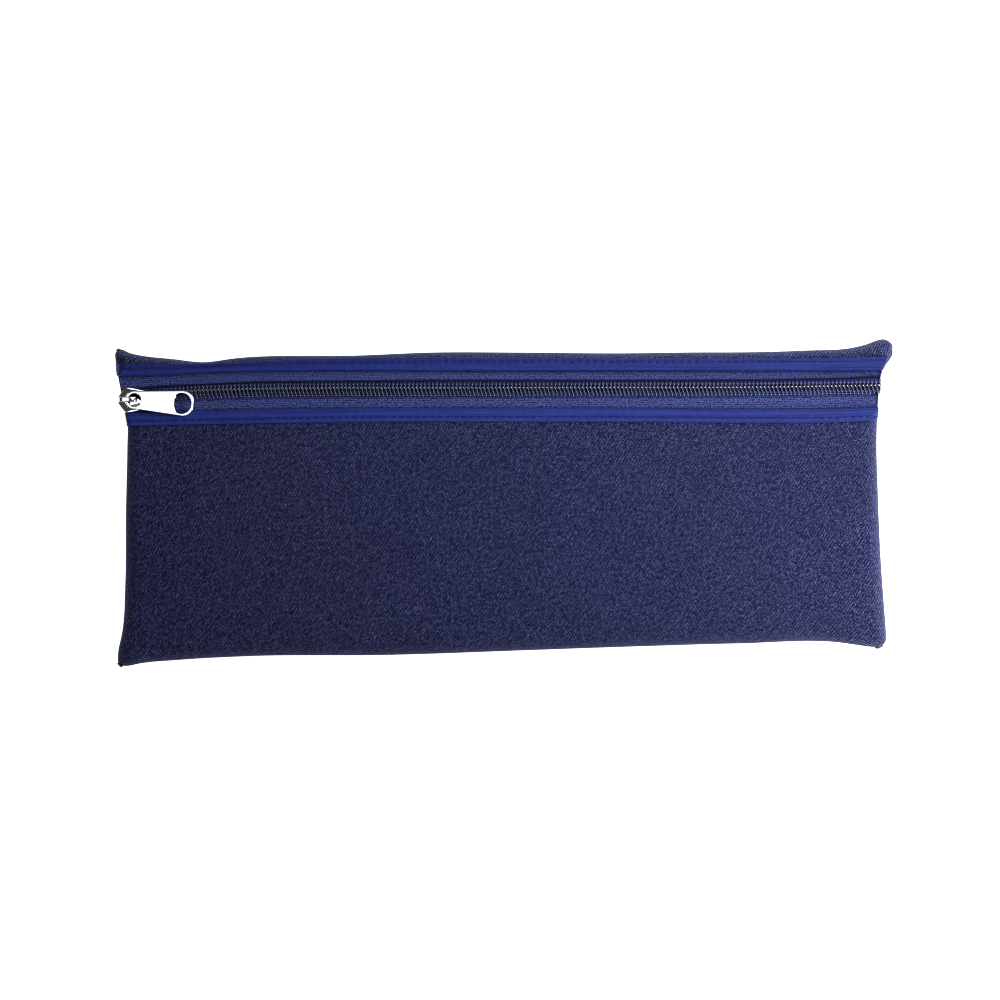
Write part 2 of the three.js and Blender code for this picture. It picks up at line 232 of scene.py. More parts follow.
def flip_if_inside_out(thing):
    """Points a closed mesh's faces outwards."""
    with edited(thing.data) as work:
        bmesh.ops.recalc_face_normals(work, faces=work.faces)
    return thing


def keep_side(thing, name, side):
    """A copy of a piece with only the faces left (-1) or right (1) of the middle of the mouth."""
    copy = new_object(name, thing.data.copy())
    copy.data.name = name
    middle = MIDDLE_X * MM
    with edited(copy.data) as work:
        far = [f for f in work.faces if (f.calc_center_median().x - middle) * side < 0]
        bmesh.ops.delete(work, geom=far, context="FACES")
    return copy


def halves(thing):
    """Splits a lip piece at the middle of the mouth into a left and a right half."""
    made = []
    base = thing.name
    for suffix, side, park in (("_left", -1, PARK_LEFT), ("_right", 1, PARK_RIGHT)):
        half = keep_side(thing, base + suffix, side)
        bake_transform(half)
        made.append(half)
    bpy.data.objects.remove(thing)
    return made


# -------- material helpers


class Nodes:
    """Short ways to add shader nodes to a material or a world."""

    def __init__(self, owner, shader="Principled BSDF"):
        owner.use_nodes = True
        self.owner = owner
        self.tree = owner.node_tree
        self.shader = self.tree.nodes[shader]

    def plug(self, socket, value):
        if isinstance(value, bpy.types.NodeSocket):
            self.tree.links.new(value, socket)
        else:
            socket.default_value = value

    def add(self, kind, inputs=None, **settings):
        """A new node with its settings, and with values or other nodes plugged into its inputs."""
        node = self.tree.nodes.new("ShaderNode" + kind)
        for key, value in settings.items():
            setattr(node, key, value)
        for key, value in (inputs or {}).items():
            self.plug(node.inputs[key], value)
        return node

    def math(self, operation, a, b=0.0, c=0.0, clamp=False):
        return self.add("Math", {0: a, 1: b, 2: c}, operation=operation, use_clamp=clamp).outputs[0]

    def split(self, vector):
        return self.add("SeparateXYZ", {0: vector}).outputs

    def join(self, x, y, z=0.0):
        return self.add("CombineXYZ", {0: x, 1: y, 2: z}).outputs[0]

    def weave(self):
        """The two coordinates of the flat cloth, in millimetres."""
        x, y, _ = self.split(self.add("Attribute", attribute_name="weave").outputs["Vector"])
        return x, y

    def stored(self, name):
        """A share that the mesh holds for each point."""
        return self.add("Attribute", attribute_name=name).outputs["Fac"]

    def times(self, a, b):
        return self.math("MULTIPLY", a, b)

    def blend(self, *parts):
        """The sum of values, each times its weight."""
        total = 0.0
        for value, weight in parts:
            total = self.math("MULTIPLY_ADD", value, weight, total)
        return total

    def noise(self, vector, scale=1.0, detail=2.0, roughness=0.5):
        inputs = {"Vector": vector, "Scale": scale, "Detail": detail, "Roughness": roughness}
        return self.add("TexNoise", inputs).outputs["Fac"]

    def streaks(self, x, y, per_x, per_y, scale=1.0, detail=2.0):
        """Noise drawn out along the axis whose number is the smaller."""
        return self.noise(self.join(self.times(x, per_x), self.times(y, per_y)), scale, detail)

    def ramp(self, value, low, high, to_low=0.0, to_high=1.0, shape="LINEAR"):
        inputs = {"Value": value, "From Min": low, "From Max": high, "To Min": to_low, "To Max": to_high}
        return self.add("MapRange", inputs, interpolation_type=shape).outputs["Result"]

    def mix(self, share, a, b):
        """A colour between two; each is a triple of numbers or another node's colour."""
        node = self.add("Mix", {"Factor": share}, data_type="RGBA")
        inputs, outputs = ([s for s in row if s.type == "RGBA"] for row in (node.inputs, node.outputs))
        for socket, item in zip(inputs, (a, b)):
            self.plug(socket, item if isinstance(item, bpy.types.NodeSocket) else (*item, 1))
        return outputs[0]

    def bump(self, height, distance, strength):
        inputs = {"Height": height, "Distance": distance, "Strength": strength}
        return self.add("Bump", inputs).outputs["Normal"]

    def set(self, **values):
        """Plugs values into the shader by short names, and returns the material."""
        names = {"color": "Base Color", "rough": "Roughness", "metal": "Metallic", "sheen": "Sheen Weight",
                 "sheen_rough": "Sheen Roughness", "specular": "Specular IOR Level", "coat": "Coat Weight",
                 "coat_rough": "Coat Roughness", "emission": "Emission Color"}
        for key, value in values.items():
            self.plug(self.shader.inputs[names.get(key, key.replace("_", " ").title())], value)
        return self.owner


def shader(name):
    """The node helper of a new material."""
    return Nodes(bpy.data.materials.new(name))


# -------- materials

WARP_PITCH = 0.344
WEFT_PITCH = 0.571
TWILL_REPEAT = 4
SATIN_RIB_PITCH = 0.32
TAPE_WALE_PITCH = 1.10
TAPE_PICK_PITCH = 0.95
TAPE_BAND = 1.5
THREAD_TWIST = 0.55


def twill(n, u, v):
    """Right-hand three-over-one twill: the diagonal rib (0 to 1), yarn height and a chance per stitch."""
    i = n.math("FLOOR", u)
    along = n.math("SUBTRACT", v, i)
    phase = n.math("FLOORED_MODULO", along, TWILL_REPEAT)
    weft = n.math("LESS_THAN", phase, 1.0)
    turn = n.times(n.math("SUBTRACT", v, u), 2 * math.pi / TWILL_REPEAT)
    rib = n.math("MULTIPLY_ADD", n.math("COSINE", turn), -0.5, 0.5)
    across = n.math("SUBTRACT", n.math("FRACT", u), 0.5)
    round_warp = n.math("SUBTRACT", 1.0, n.times(n.times(across, across), 3.2))
    height = n.times(round_warp, n.math("MULTIPLY_ADD", weft, -0.6, 1.0))
    stitch = n.join(i, n.math("FLOOR", along))
    chance = n.add("TexWhiteNoise", {"Vector": stitch}, noise_dimensions="2D")
    return rib, height, chance.outputs["Value"]


def diagonal_grain(n, x, y):
    """Noise drawn out along the twill's diagonal, 59 degrees up from the zip's direction."""
    across = n.blend((x, 0.857), (y, -0.515))
    along = n.blend((x, 0.155), (y, 0.257))
    return n.noise(n.join(across, along), 1.7, 2.0, 0.65)


def flecks(n, x, y, cloth):
    """Sparse spots of undyed weft, gathered in drifts."""
    place = n.join(n.times(x, 0.47), n.times(y, 0.34))
    cells = n.add("TexVoronoi", {"Vector": place, "Randomness": 1.0}, voronoi_dimensions="2D")
    spot = n.ramp(cells.outputs["Distance"], 0.12, 0.19, 1.0, 0.0)
    return n.times(spot, n.ramp(n.noise(cloth, 0.7, 1.0), 0.44, 0.58))


def denim(name, dark, body, pale, speck=0.8):
    """Twill denim in its own cloth coordinates: diagonal ribs, uneven yarns, flecks and worn edges."""
    n = shader(name)
    x, y = n.weave()
    cloth = n.join(x, y)
    u = n.math("DIVIDE", n.math("MULTIPLY_ADD", n.streaks(x, y, 0.9, 0.12), 0.35, x), WARP_PITCH)
    v = n.math("DIVIDE", n.math("MULTIPLY_ADD", n.streaks(x, y, 0.10, 0.7), 0.50, y), WEFT_PITCH)
    rib, height, chance = twill(n, u, v)
    grain = diagonal_grain(n, x, y)
    fleck = flecks(n, x, y, cloth)
    bright = n.math("MULTIPLY_ADD", n.math("POWER", chance, 3.0), 2.6, 0.40)
    level = n.times(n.ramp(rib, 0.0, 1.0, 0.35, 1.0), bright)
    for unevenness, low, high, least, most in (
            (grain, 0.34, 0.66, 0.10, 1.90),
            (n.streaks(x, y, 1.5, 0.035), 0.3, 0.7, 0.88, 1.12),
            (n.streaks(x, y, 0.05, 1.2), 0.3, 0.7, 0.93, 1.07),
            (n.noise(cloth, 0.055, 3.0), 0.3, 0.7, 0.90, 1.10)):
        level = n.times(level, n.ramp(unevenness, low, high, least, most))
    colour = n.mix(n.math("MULTIPLY", level, 0.285, clamp=True), dark, body)
    colour = n.mix(n.times(n.stored("wear"), n.times(rib, 0.30)), colour, pale)
    colour = n.mix(n.times(fleck, speck), colour, pale)
    surface = n.blend((height, 0.7), (rib, 0.8), (grain, 0.8), (fleck, 0.7))
    return n.set(color=colour, rough=n.ramp(n.noise(cloth, 3.6), 0.2, 0.8, 0.82, 0.95), specular=0.08,
                 sheen=0.04, sheen_rough=0.45, sheen_tint=(0.5, 0.6, 1.0, 1.0),
                 normal=n.bump(surface, 0.00035, 1.0))


def satin():
    """Polyester satin ribbon: fine cross ribs, lengthwise sheen streaks, and painted shade in the stitch
    line and along the fold.

    Its tone falls along the right half, to even out the nearness of the lights there.
    """
    n = shader("satin_ribbon")
    x, y = n.weave()
    streak = n.streaks(x, y, 0.03, 1.3, detail=3.0)
    pucker = n.streaks(x, y, 0.45, 0.3)
    rib = n.math("SINE", n.times(x, 2 * math.pi / SATIN_RIB_PITCH))
    tone = n.ramp(n.blend((streak, 0.6), (pucker, 0.4)), 0.35, 0.65, -0.22, 0.22)
    level = n.math("ADD", tone, n.ramp(x, 150, 320, 0.58, 0.16))
    colour = n.mix(level, (0.0086, 0.0136, 0.088), (0.0264, 0.0413, 0.2635))
    # Painted shade: darker where the mesh stores a share of it.
    colour = n.mix(n.times(n.stored("groove_and_painted_shade"), 0.75), colour, (0.005, 0.008, 0.055))
    surface = n.blend((rib, 0.3), (streak, 1.2))
    return n.set(color=colour, rough=n.ramp(streak, 0.3, 0.7, 0.36, 0.50), specular=0.25, sheen=0.08,
                 sheen_rough=0.3, sheen_tint=(0.3, 0.4, 1.0, 1.0), specular_tint=(0.35, 0.45, 1.0, 1.0),
                 normal=n.bump(surface, 0.00005, 0.6))


def herringbone():
    """Zip tape: fine polyester herringbone, in bands that change direction.

    Its tone falls to the right, for the same reason as the ribbon's.
    """
    n = shader("zip_tape_weave")
    x, y = n.weave()
    slant = n.math("MULTIPLY_ADD", n.math("PINGPONG", y, TAPE_BAND), 0.9, x)
    wale = n.math("SINE", n.times(slant, 2 * math.pi / TAPE_WALE_PITCH))
    pick = n.math("SINE", n.times(y, 2 * math.pi / TAPE_PICK_PITCH))
    dots = n.times(n.math("ADD", wale, 1.0), n.math("ADD", pick, 1.0))
    level = n.blend((dots, 0.12), (n.noise(n.join(x, y), 1.1, 2.0, 0.65), 1.8))
    level = n.times(n.ramp(level, 0.72, 1.33), n.ramp(x, -20, 160, 0.74, 0.50))
    colour = n.mix(level, (0.0075, 0.0110, 0.055), (0.108, 0.142, 0.46))
    # Painted shadow: near black where the mesh stores a share of it.
    colour = n.mix(n.stored("groove_and_painted_shade"), colour, (0.0015, 0.0025, 0.014))
    return n.set(color=colour, rough=0.72, specular=0.12, sheen=0.05, sheen_rough=0.4,
                 sheen_tint=(0.4, 0.5, 1.0, 1.0), normal=n.bump(level, 0.00015, 0.9))


def nylon():
    """Dyed nylon monofilament, glossy, with a painted highlight: pale where a point's stored share says so.
    """
    n = shader("coil_nylon")
    tone = n.noise(n.add("TexCoord").outputs["Object"], 900.0, 1.0)
    colour = n.mix(tone, (0.0020, 0.0035, 0.018), (0.0050, 0.0080, 0.040))
    # Painted highlight: glints painted pale where the mesh stores a pale share.
    colour = n.mix(n.stored("pale"), colour, (0.75, 0.83, 1.00))
    return n.set(color=colour, rough=n.ramp(tone, 0.3, 0.7, 0.20, 0.28), specular=0.4, coat=0.15,
                 coat_rough=0.15)


def thread(name, dark, light, sheen=0.06):
    """Spun sewing thread: two plies twisted along the stitch, with fuzz."""
    n = shader(name)
    x, y = n.weave()
    ply = n.math("SINE", n.blend((x, 2 * math.pi / THREAD_TWIST), (y, 2 * math.pi)))
    level = n.blend((ply, 0.3), (n.streaks(x, y, 4.0, 3.0, 1.5), 1.0))
    return n.set(color=n.mix(n.ramp(level, 0.2, 0.9), dark, light), rough=0.62, specular=0.15,
                 sheen=sheen, sheen_rough=0.35, normal=n.bump(level, 0.00008, 0.8))


def nickel():
    """Polished nickel plate on die-cast zinc, with faint waviness and fine scratches."""
    n = shader("nickel")
    place = n.add("TexCoord").outputs["Object"]
    x, y, z = n.split(place)
    scratch = n.noise(n.join(n.times(x, 400.0), n.times(y, 5000.0), z), 1.0, 3.0, 0.6)
    grime = n.noise(place, 700.0, 3.0, 0.6)
    colour = n.mix(n.ramp(grime, 0.35, 0.75), (0.90, 0.88, 0.87), (0.82, 0.80, 0.79))
    rough = n.math("ADD", n.ramp(scratch, 0.35, 0.75, 0.09, 0.16), n.ramp(grime, 0.4, 0.8, 0.0, 0.05))
    surface = n.math("MULTIPLY_ADD", scratch, 0.06, n.noise(place, 260.0))
    return n.set(color=colour, rough=rough, metal=1.0, normal=n.bump(surface, 0.00004, 0.25))


DENIM = denim("denim_face", (0.0015, 0.0025, 0.034), (0.086, 0.095, 0.240), (0.38, 0.42, 0.74))
DENIM_INSIDE = denim("denim_wrong_side", (0.05, 0.06, 0.11), (0.30, 0.33, 0.41), (0.42, 0.45, 0.52), 0.2)
SATIN = satin()
TAPE = herringbone()
NYLON = nylon()
TOPSTITCH = thread("topstitch", (0.009, 0.014, 0.085), (0.026, 0.038, 0.200), sheen=0.0)
COIL_STITCH = thread("coil_stitch", (0.026, 0.032, 0.110), (0.105, 0.120, 0.30))
CORD = thread("core_cord", (0.02, 0.027, 0.10), (0.06, 0.075, 0.22))
SEAM_THREAD = thread("seam_thread", (0.015, 0.018, 0.07), (0.04, 0.05, 0.16))
OVERLOCK = thread("overlock", (0.025, 0.028, 0.07), (0.09, 0.10, 0.20))
NICKEL = nickel()

# -------- the cloth's shape

# How far each edge's roll reaches in, and how high the empty case still swells below the zip.
SIDE_ROLL = 5.5
BOTTOM_ROLL = 9.0
REAR_ROLL = 9.0
TOP_ROLL = 3.2
BULGE = 2.6
BULGE_TOP = RIBBON_LOW[1] - 4

# What the outline square spans, nearly, and how finely the cloth is divided.
PANEL_WIDTH = 322.0
PANEL_HEIGHT = 128.0
CLOTH_STEP = 2.6
REAR_STEP = 3.2
STRIP_ROWS = 6

# The seam allowance, its columns, and how far it and the cloth's edge lie off the seam's plane.
ALLOWANCE = 8.5
ALLOWANCE_ROWS = np.array((0.45, 3.0, 6.0, ALLOWANCE))
PAD = len(ALLOWANCE_ROWS)
INSIDE = slice(PAD, -PAD)
EDGE_GAP = 0.45
LEDGE_GAP = 0.12

# How far a panel's edge stops short of the fold of the ribbon that covers it.
FOLD_COVER = 0.9


def corner_inset(t, radius):
    """How far a side edge is drawn in by the round corners at its ends."""
    half = (CASE_HIGH[1] - CASE_LOW[1]) / 2
    over = np.clip((np.abs(2 * t - 1) * half - (half - radius)) / radius, 0, 1)
    return radius * (1 - np.sqrt(1 - over ** 2))


def outline_point(s, t):
    """A point of the case's outline square (s and t from 0 to 1), laid out on the real edges."""
    guess_y = CASE_LOW[1] + (CASE_HIGH[1] - CASE_LOW[1]) * t
    left, right = curve_at(LEFT_EDGE, guess_y), curve_at(RIGHT_EDGE, guess_y)
    left = left + corner_inset(t, np.where(t < 0.5, BOTTOM_LEFT_CORNER, EAR_CORNER))
    right = right - corner_inset(t, np.where(t < 0.5, BOTTOM_RIGHT_CORNER, EAR_CORNER))
    x = left + (right - left) * s
    bottom, top = curve_at(BOTTOM_EDGE, x), curve_at(TOP_EDGE, x)
    return x, bottom + (top - bottom) * t


def edge_distances(s, t):
    """How far a point of the outline square is from the nearer side, the bottom and the top, in mm."""
    return np.minimum(s, 1 - s) * PANEL_WIDTH, t * PANEL_HEIGHT, (1 - t) * PANEL_HEIGHT


def ripple(x, y):
    """Slow, shallow unevenness of the cloth, in mm."""
    a = np.sin(x * 0.041 + 1.3 * np.sin(y * 0.035)) * np.sin(y * 0.062 + 0.7 + 0.4 * np.sin(x * 0.021))
    b = np.sin(x * 0.093 + y * 0.051 + 2.1) * np.sin(y * 0.11 - x * 0.017)
    return 0.32 * a + 0.16 * b


def side_pucker(x, y, from_side):
    """Short creases that run in from the side seams."""
    fade = np.exp(-from_side / 7.0) * smoothstep(0, 2.5, from_side)
    return 0.38 * fade * np.sin(y * 0.62 + 1.7 * np.sin(y * 0.21) + np.sign(x))


def bottom_pucker(x, from_bottom):
    """Short creases that run up from the bottom seam."""
    fade = np.exp(-from_bottom / 6.0) * smoothstep(0, 2.5, from_bottom)
    return 0.26 * fade * np.sin(x * 0.55 + 2.0 * np.sin(x * 0.13))


def front_height(s, t, x, y):
    """Height of the front's outer face."""
    side, bottom, top = edge_distances(s, t)
    rise = shoulder(side, SIDE_ROLL) * shoulder(bottom, BOTTOM_ROLL)
    across = np.clip((y - CASE_LOW[1]) / (BULGE_TOP - CASE_LOW[1]), 0, 1)
    crown = BULGE * np.sin(np.pi * across) ** 1.5 * np.clip(np.sin(np.pi * s), 0, 1) ** 0.4
    calm = smoothstep(4, 22, side) * smoothstep(4, 20, bottom)
    calm = calm * (1 - smoothstep(BULGE_TOP - 12, BULGE_TOP, y))
    wave = ripple(x, y) * calm + side_pucker(x, y, side) * (1 - smoothstep(28, 40, y))
    wave = wave + bottom_pucker(x, bottom)
    return SEAM_Z + ((LIP_Z - SEAM_Z) * shoulder(top, TOP_ROLL) + crown + wave) * rise


def rear_height(s, t, x, y):
    """Height of the rear's outer face, flat on the table away from its edges."""
    side, bottom, top = edge_distances(s, t)
    drop = shoulder(side, REAR_ROLL) * shoulder(bottom, REAR_ROLL * 1.2)
    return SEAM_Z * (1 - drop * shoulder(top, TOP_ROLL * 1.6))


def edge_spacing(roll, span):
    """Fractions of a span that follow a rolled edge closely, then step to its middle."""
    angles = np.linspace(0, math.pi / 2, 9)
    return list(roll * (1 - np.cos(angles)) / span)


def spaced(roll_low, roll_high, span, step):
    """Fractions from 0 to 1 across a span, dense on both rolled edges."""
    low = edge_spacing(roll_low, span)
    high = [1 - f for f in reversed(edge_spacing(roll_high, span))]
    count = max(2, int(round((high[0] - low[-1]) * span / step)))
    middle = np.linspace(low[-1], high[0], count + 1)[1:-1]
    return np.array(low + list(middle) + high)


def turn_sides_in(rows, left, right):
    """Sets x for the columns of the side allowances, which run in from the left and right edges."""
    rows[..., :PAD, 0] = left + ALLOWANCE_ROWS[::-1]
    rows[..., -PAD:, 0] = right - ALLOWANCE_ROWS


def turned_side(s_values, t_values, height, sign):
    """Rows of points for a panel, with its side allowances turned in, and how worn each point is.

    sign is 1 for the front, whose allowance lies just above the seam, and -1 for the rear.
    """
    s, t = np.meshgrid(s_values, t_values)
    x, y = outline_point(s, t)
    z = height(s, t, x, y)
    z[:, 0] = z[:, -1] = z[0, :] = SEAM_Z + sign * EDGE_GAP
    side, bottom, top = edge_distances(s, t)
    wear = np.exp(-np.minimum(side, np.minimum(bottom, top)) / 1.6)
    rows = np.pad(np.stack([x, y, z], -1), ((0, 0), (PAD, PAD), (0, 0)), "edge")
    turn_sides_in(rows, x[:, :1], x[:, -1:])
    rows[:, :PAD, 2] = rows[:, -PAD:, 2] = SEAM_Z + sign * LEDGE_GAP
    return rows, np.pad(wear, ((0, 0), (PAD, PAD)))


def keep_inside(rows):
    """Keeps the turned-in side allowances clear of the top and bottom edges."""
    for side in (slice(0, PAD), slice(-PAD, None)):
        x = rows[:, side, 0]
        low, high = curve_at(BOTTOM_EDGE, x) + 1.6, curve_at(TOP_EDGE, x) - 2.2
        rows[:, side, 1] = np.clip(rows[:, side, 1], low, high)


def with_bottom_ledge(rows, wear, sign):
    """Adds the rows of the allowance turned in along the bottom seam, innermost first."""
    ledge = np.repeat(rows[:1], PAD, 0)
    ledge[:, :, 1] += ALLOWANCE_ROWS[::-1, None]
    ledge[:, :, 2] = SEAM_Z + sign * LEDGE_GAP
    return np.concatenate([ledge, rows], 0), np.pad(wear, ((PAD, 0), (0, 0)))


def cloth_sheet(name, rows, wear, weave):
    """A sheet of denim with its own thickness, its face outside and its paler wrong side inside."""
    count, columns = rows.shape[:2]
    thing = mesh_object(name, rows.reshape(-1, 3), grid_faces(count, columns), [DENIM, DENIM_INSIDE],
                        weave.reshape(-1, 3), {"wear": wear.ravel()})
    solid = thing.modifiers.new("thickness", "SOLIDIFY")
    solid.thickness = CLOTH * MM
    solid.offset = -1
    solid.use_even_offset = False
    solid.material_offset = 1
    solid.material_offset_rim = 1
    return apply_modifiers(thing)


def flat_lengths(rows):
    """Each point's place on the flat cloth, measured along its row and column."""
    step_x = np.linalg.norm(np.diff(rows, axis=1), axis=2)
    step_y = np.linalg.norm(np.diff(rows, axis=0), axis=2)
    u = np.concatenate([np.zeros((rows.shape[0], 1)), np.cumsum(step_x, 1)], 1)
    v = np.concatenate([np.zeros((1, rows.shape[1])), np.cumsum(step_y, 0)], 0)
    middle = rows.shape[1] // 2
    u = u - u[:, middle:middle + 1]
    v = np.repeat(v[:, middle:middle + 1], rows.shape[1], 1)
    return np.stack([u, v, np.zeros_like(u)], -1)


def front_cloth():
    """The front panel, from the bottom allowance up to its edge inside the lower ribbon."""
    s_values = spaced(SIDE_ROLL, SIDE_ROLL, PANEL_WIDTH, CLOTH_STEP)
    sides = (-PANEL_WIDTH / 2, PANEL_WIDTH / 2)
    s_values = np.unique(np.append(s_values, np.interp(MIDDLE_X, sides, (0, 1))))
    t_values = spaced(BOTTOM_ROLL, 0.01, PANEL_HEIGHT, CLOTH_STEP)
    t_values = t_values[t_values < 0.999]
    rows, wear = turned_side(s_values, t_values, front_height, 1)
    lip = np.pad(curve_at(LOWER_FOLD, np.linspace(*sides, len(s_values))) - FOLD_COVER, PAD, "edge")
    bottom = rows[0, :, 1]
    share = (rows[:, :, 1] - bottom) / (rows[-1, :, 1] - bottom)
    reach = bottom + share * (lip - bottom)
    s_full = np.pad(s_values, PAD, "edge")
    for i, row in enumerate(rows):
        top = curve_at(TOP_EDGE, row[:, 0])
        low = curve_at(BOTTOM_EDGE, row[:, 0])
        t_here = np.clip((reach[i] - low) / (top - low), 0, 1)
        x, _ = outline_point(s_full, t_here)
        z = front_height(s_full, t_here, x, reach[i])
        row[INSIDE, 0] = x[INSIDE]
        turn_sides_in(row, x[0], x[-1])
        row[:, 1] = reach[i]
        if i:
            row[PAD + 1:-PAD - 1, 2] = z[PAD + 1:-PAD - 1]
    keep_inside(rows)
    rows, wear = with_bottom_ledge(rows, wear, 1)
    return cloth_sheet("front_cloth", rows, wear, flat_lengths(rows))


def rear_cloth():
    """The rear panel: the back, the fold over the top edge and the strip above the zip."""
    s_values = spaced(SIDE_ROLL, SIDE_ROLL, PANEL_WIDTH, CLOTH_STEP)
    t_values = spaced(REAR_ROLL * 1.2, TOP_ROLL * 1.6, PANEL_HEIGHT, REAR_STEP)
    rows, wear = turned_side(s_values, t_values, rear_height, -1)
    s_full = np.pad(s_values, PAD, "edge")
    rows[-1, INSIDE, 2] = SEAM_Z
    x_edge, top = outline_point(s_full, np.ones_like(s_full))
    bottom = curve_at(BOTTOM_EDGE, x_edge)
    fold = curve_at(UPPER_FOLD, x_edge) + FOLD_COVER
    inner = top - TOP_ROLL
    side, _, _ = edge_distances(s_full, 1)
    over = [top - TOP_ROLL * (1 - math.cos(angle)) for angle in np.linspace(0, math.pi / 2, 9)[1:]]
    over += [inner + (fold - inner) * (k + 1) / STRIP_ROWS for k in range(STRIP_ROWS)]
    strip_rows, strip_wear = [], []
    for y in over:
        x, _ = outline_point(s_full, (y - bottom) / (top - bottom))
        z = SEAM_Z + (LIP_Z - SEAM_Z) * shoulder(top - y, TOP_ROLL) * shoulder(side, SIDE_ROLL)
        line = np.stack([x, y, z], -1)
        turn_sides_in(line, x[0], x[-1])
        line[:PAD + 1, 2] = line[-PAD - 1:, 2] = SEAM_Z + LEDGE_GAP
        strip_rows.append(line)
        strip_wear.append(np.exp(-np.minimum(np.abs(top - y), side) / 1.4))
    rows = np.concatenate([rows, strip_rows], 0)
    wear = np.concatenate([wear, strip_wear], 0)
    keep_inside(rows)
    rows, wear = with_bottom_ledge(rows, wear, -1)
    weave = flat_lengths(rows) * (-1, 1, 1)
    return cloth_sheet("rear_cloth", rows[:, ::-1], wear[:, ::-1], weave[:, ::-1])


# -------- ribbons and tapes

ZIP_ROLL = 0.9
LAYER_SHARE = 0.25


def end_roll(y):
    """Radius of the bend over a side edge, tighter at the zip than on the denim."""
    away = smoothstep(8, 17, np.abs(y - ZIP_Y))
    return ZIP_ROLL + (SIDE_ROLL - ZIP_ROLL) * away


def overhang(y):
    """How far a flat strip reaches past a side edge before it is bent down to the seam."""
    return (LIP_Z - SEAM_Z) - (2 - math.pi / 2) * end_roll(y)


def flat_x(s, y):
    """Where a strip's point lies before bending: s runs from 0 at the left seam to 1 at the right."""
    left = curve_at(LEFT_EDGE, y) - overhang(y)
    right = curve_at(RIGHT_EDGE, y) + overhang(y)
    return left + (right - left) * s


def bent_over_sides(points):
    """Bends flat points that lie past the side edges down to the side seams, pressing their layers flat."""
    points = np.array(points, float)
    x, y, z = points.T
    roll = end_roll(y)
    above = z - LIP_Z
    for side, edge in ((-1, curve_at(LEFT_EDGE, y)), (1, curve_at(RIGHT_EDGE, y))):
        past = side * (x - edge) + roll
        turn = np.clip(past / roll, 0, math.pi / 2)
        down = np.maximum(past - roll * math.pi / 2, 0)
        radius = roll + above
        bent = past > 0
        points[bent, 0] = (edge - side * (roll - (roll + LAYER_SHARE * above) * np.sin(turn)))[bent]
        points[bent, 2] = (LIP_Z - roll + radius * np.cos(turn) - down)[bent]
    return points


def strip(name, s, y, height, along, across, groove_and_painted_shade, material):
    """A closed band from rings of points round it, bent down to the side seams."""
    points = bent_over_sides(np.stack([flat_x(s, y), y, height], -1).reshape(-1, 3))
    weave = np.stack([along + 0 * y, across + 0 * y, 0 * y], -1)
    return flip_if_inside_out(mesh_object(name, points, tube_faces(*y.shape), [material],
                                          weave.reshape(-1, 3), {"groove_and_painted_shade": groove_and_painted_shade.ravel()}))


RIBBON_WIDTH = RIBBON_HIGH[1] - RIBBON_LOW[1]
STITCH_PITCH = 3.3
STITCH_INSET = 1.9
EDGE_LINE = 1.25
FLAT_FROM = 1.1
# Painted shade of the line along the fold, painted shade and depth of the sunken stitch line, and painted
# shade of the tucked part.
RIBBON_SHADES = {1: (0.2, 0.65, 0.14, 0.70), -1: (0.55, 0.5, 0.24, 0.0)}
TAPE_CLEARANCE = 4.2
# Painted shadow beside the ribbon; and painted shade, place behind the coil and half width of the valley by
# the coil.
TAPE_SHADES = {1: (0.25, 0.95, 0.8, 0.85), -1: (0.75, 0.25, 0.3, 0.6)}


def ribbon_profile(side):
    """The folded ribbon's outer outline: (distance from the fold, height, painted shade), fold first."""
    top, bottom = RIBBON_HIGH[2], RIBBON_LOW[2]
    middle, radius = (top + bottom) / 2, (top - bottom) / 2
    edge_shade, stitch_shade, stitch_depth, tuck_shade = RIBBON_SHADES[side]
    quarter = np.linspace(0, math.pi / 2, 6)
    bend, rise = 0.75 * radius * (1 - np.cos(quarter)), radius * np.sin(quarter)
    d = np.linspace(FLAT_FROM, RIBBON_WIDTH, 18)
    line = edge_shade * np.exp(-((d - EDGE_LINE) / 0.30) ** 2)
    groove_and_painted_shade = np.exp(-((d - RIBBON_WIDTH + STITCH_INSET) / 0.38) ** 2)
    swell = np.minimum(1, (d - FLAT_FROM) / (RIBBON_WIDTH - STITCH_INSET - FLAT_FROM))
    height = top + np.maximum(0.16 * np.sin(math.pi * swell), 0) - 0.20 * line - stitch_depth * groove_and_painted_shade
    # Painted shade: a dark line along the fold, the sunken stitch line, and the upper ribbon's tucked outer
    # band, darker where it slopes away.
    shade = np.maximum(np.maximum(line, stitch_shade * groove_and_painted_shade), tuck_shade * smoothstep(1.9, 3.0, d))
    upper = [(b, middle + r, 0.0) for b, r in zip(bend, rise)] + list(zip(d, height, shade))
    rim = [(RIBBON_WIDTH + 0.12, top - 0.25, 0.3), (RIBBON_WIDTH, top - 0.5, 0.6)]
    inside = [(3.0, top - 0.5, 0.0), (0.55, top - 0.55, 0.0), (0.55, bottom + 0.5, 0.0),
              (3.0, bottom + 0.5, 0.0), (RIBBON_WIDTH, bottom + 0.5, 0.0)]
    under = [(RIBBON_WIDTH, bottom, 0.0), (3.0, bottom, 0.0), (0.75 * radius, bottom, 0.0)]
    turn = [(b, middle - r, 0.0) for b, r in zip(bend[-2:0:-1], rise[-2:0:-1])]
    return upper + rim + inside + under + turn


def ribbon_spread(side, x):
    """How wide a ribbon lies at x, as a share of its full width; the upper one is partly tucked in."""
    if side < 0:
        return 0.975 + 0.012 * np.sin(x * 0.052)
    return (curve_at(UPPER_RIBBON_EDGE, x) - curve_at(UPPER_FOLD, x)) / RIBBON_WIDTH


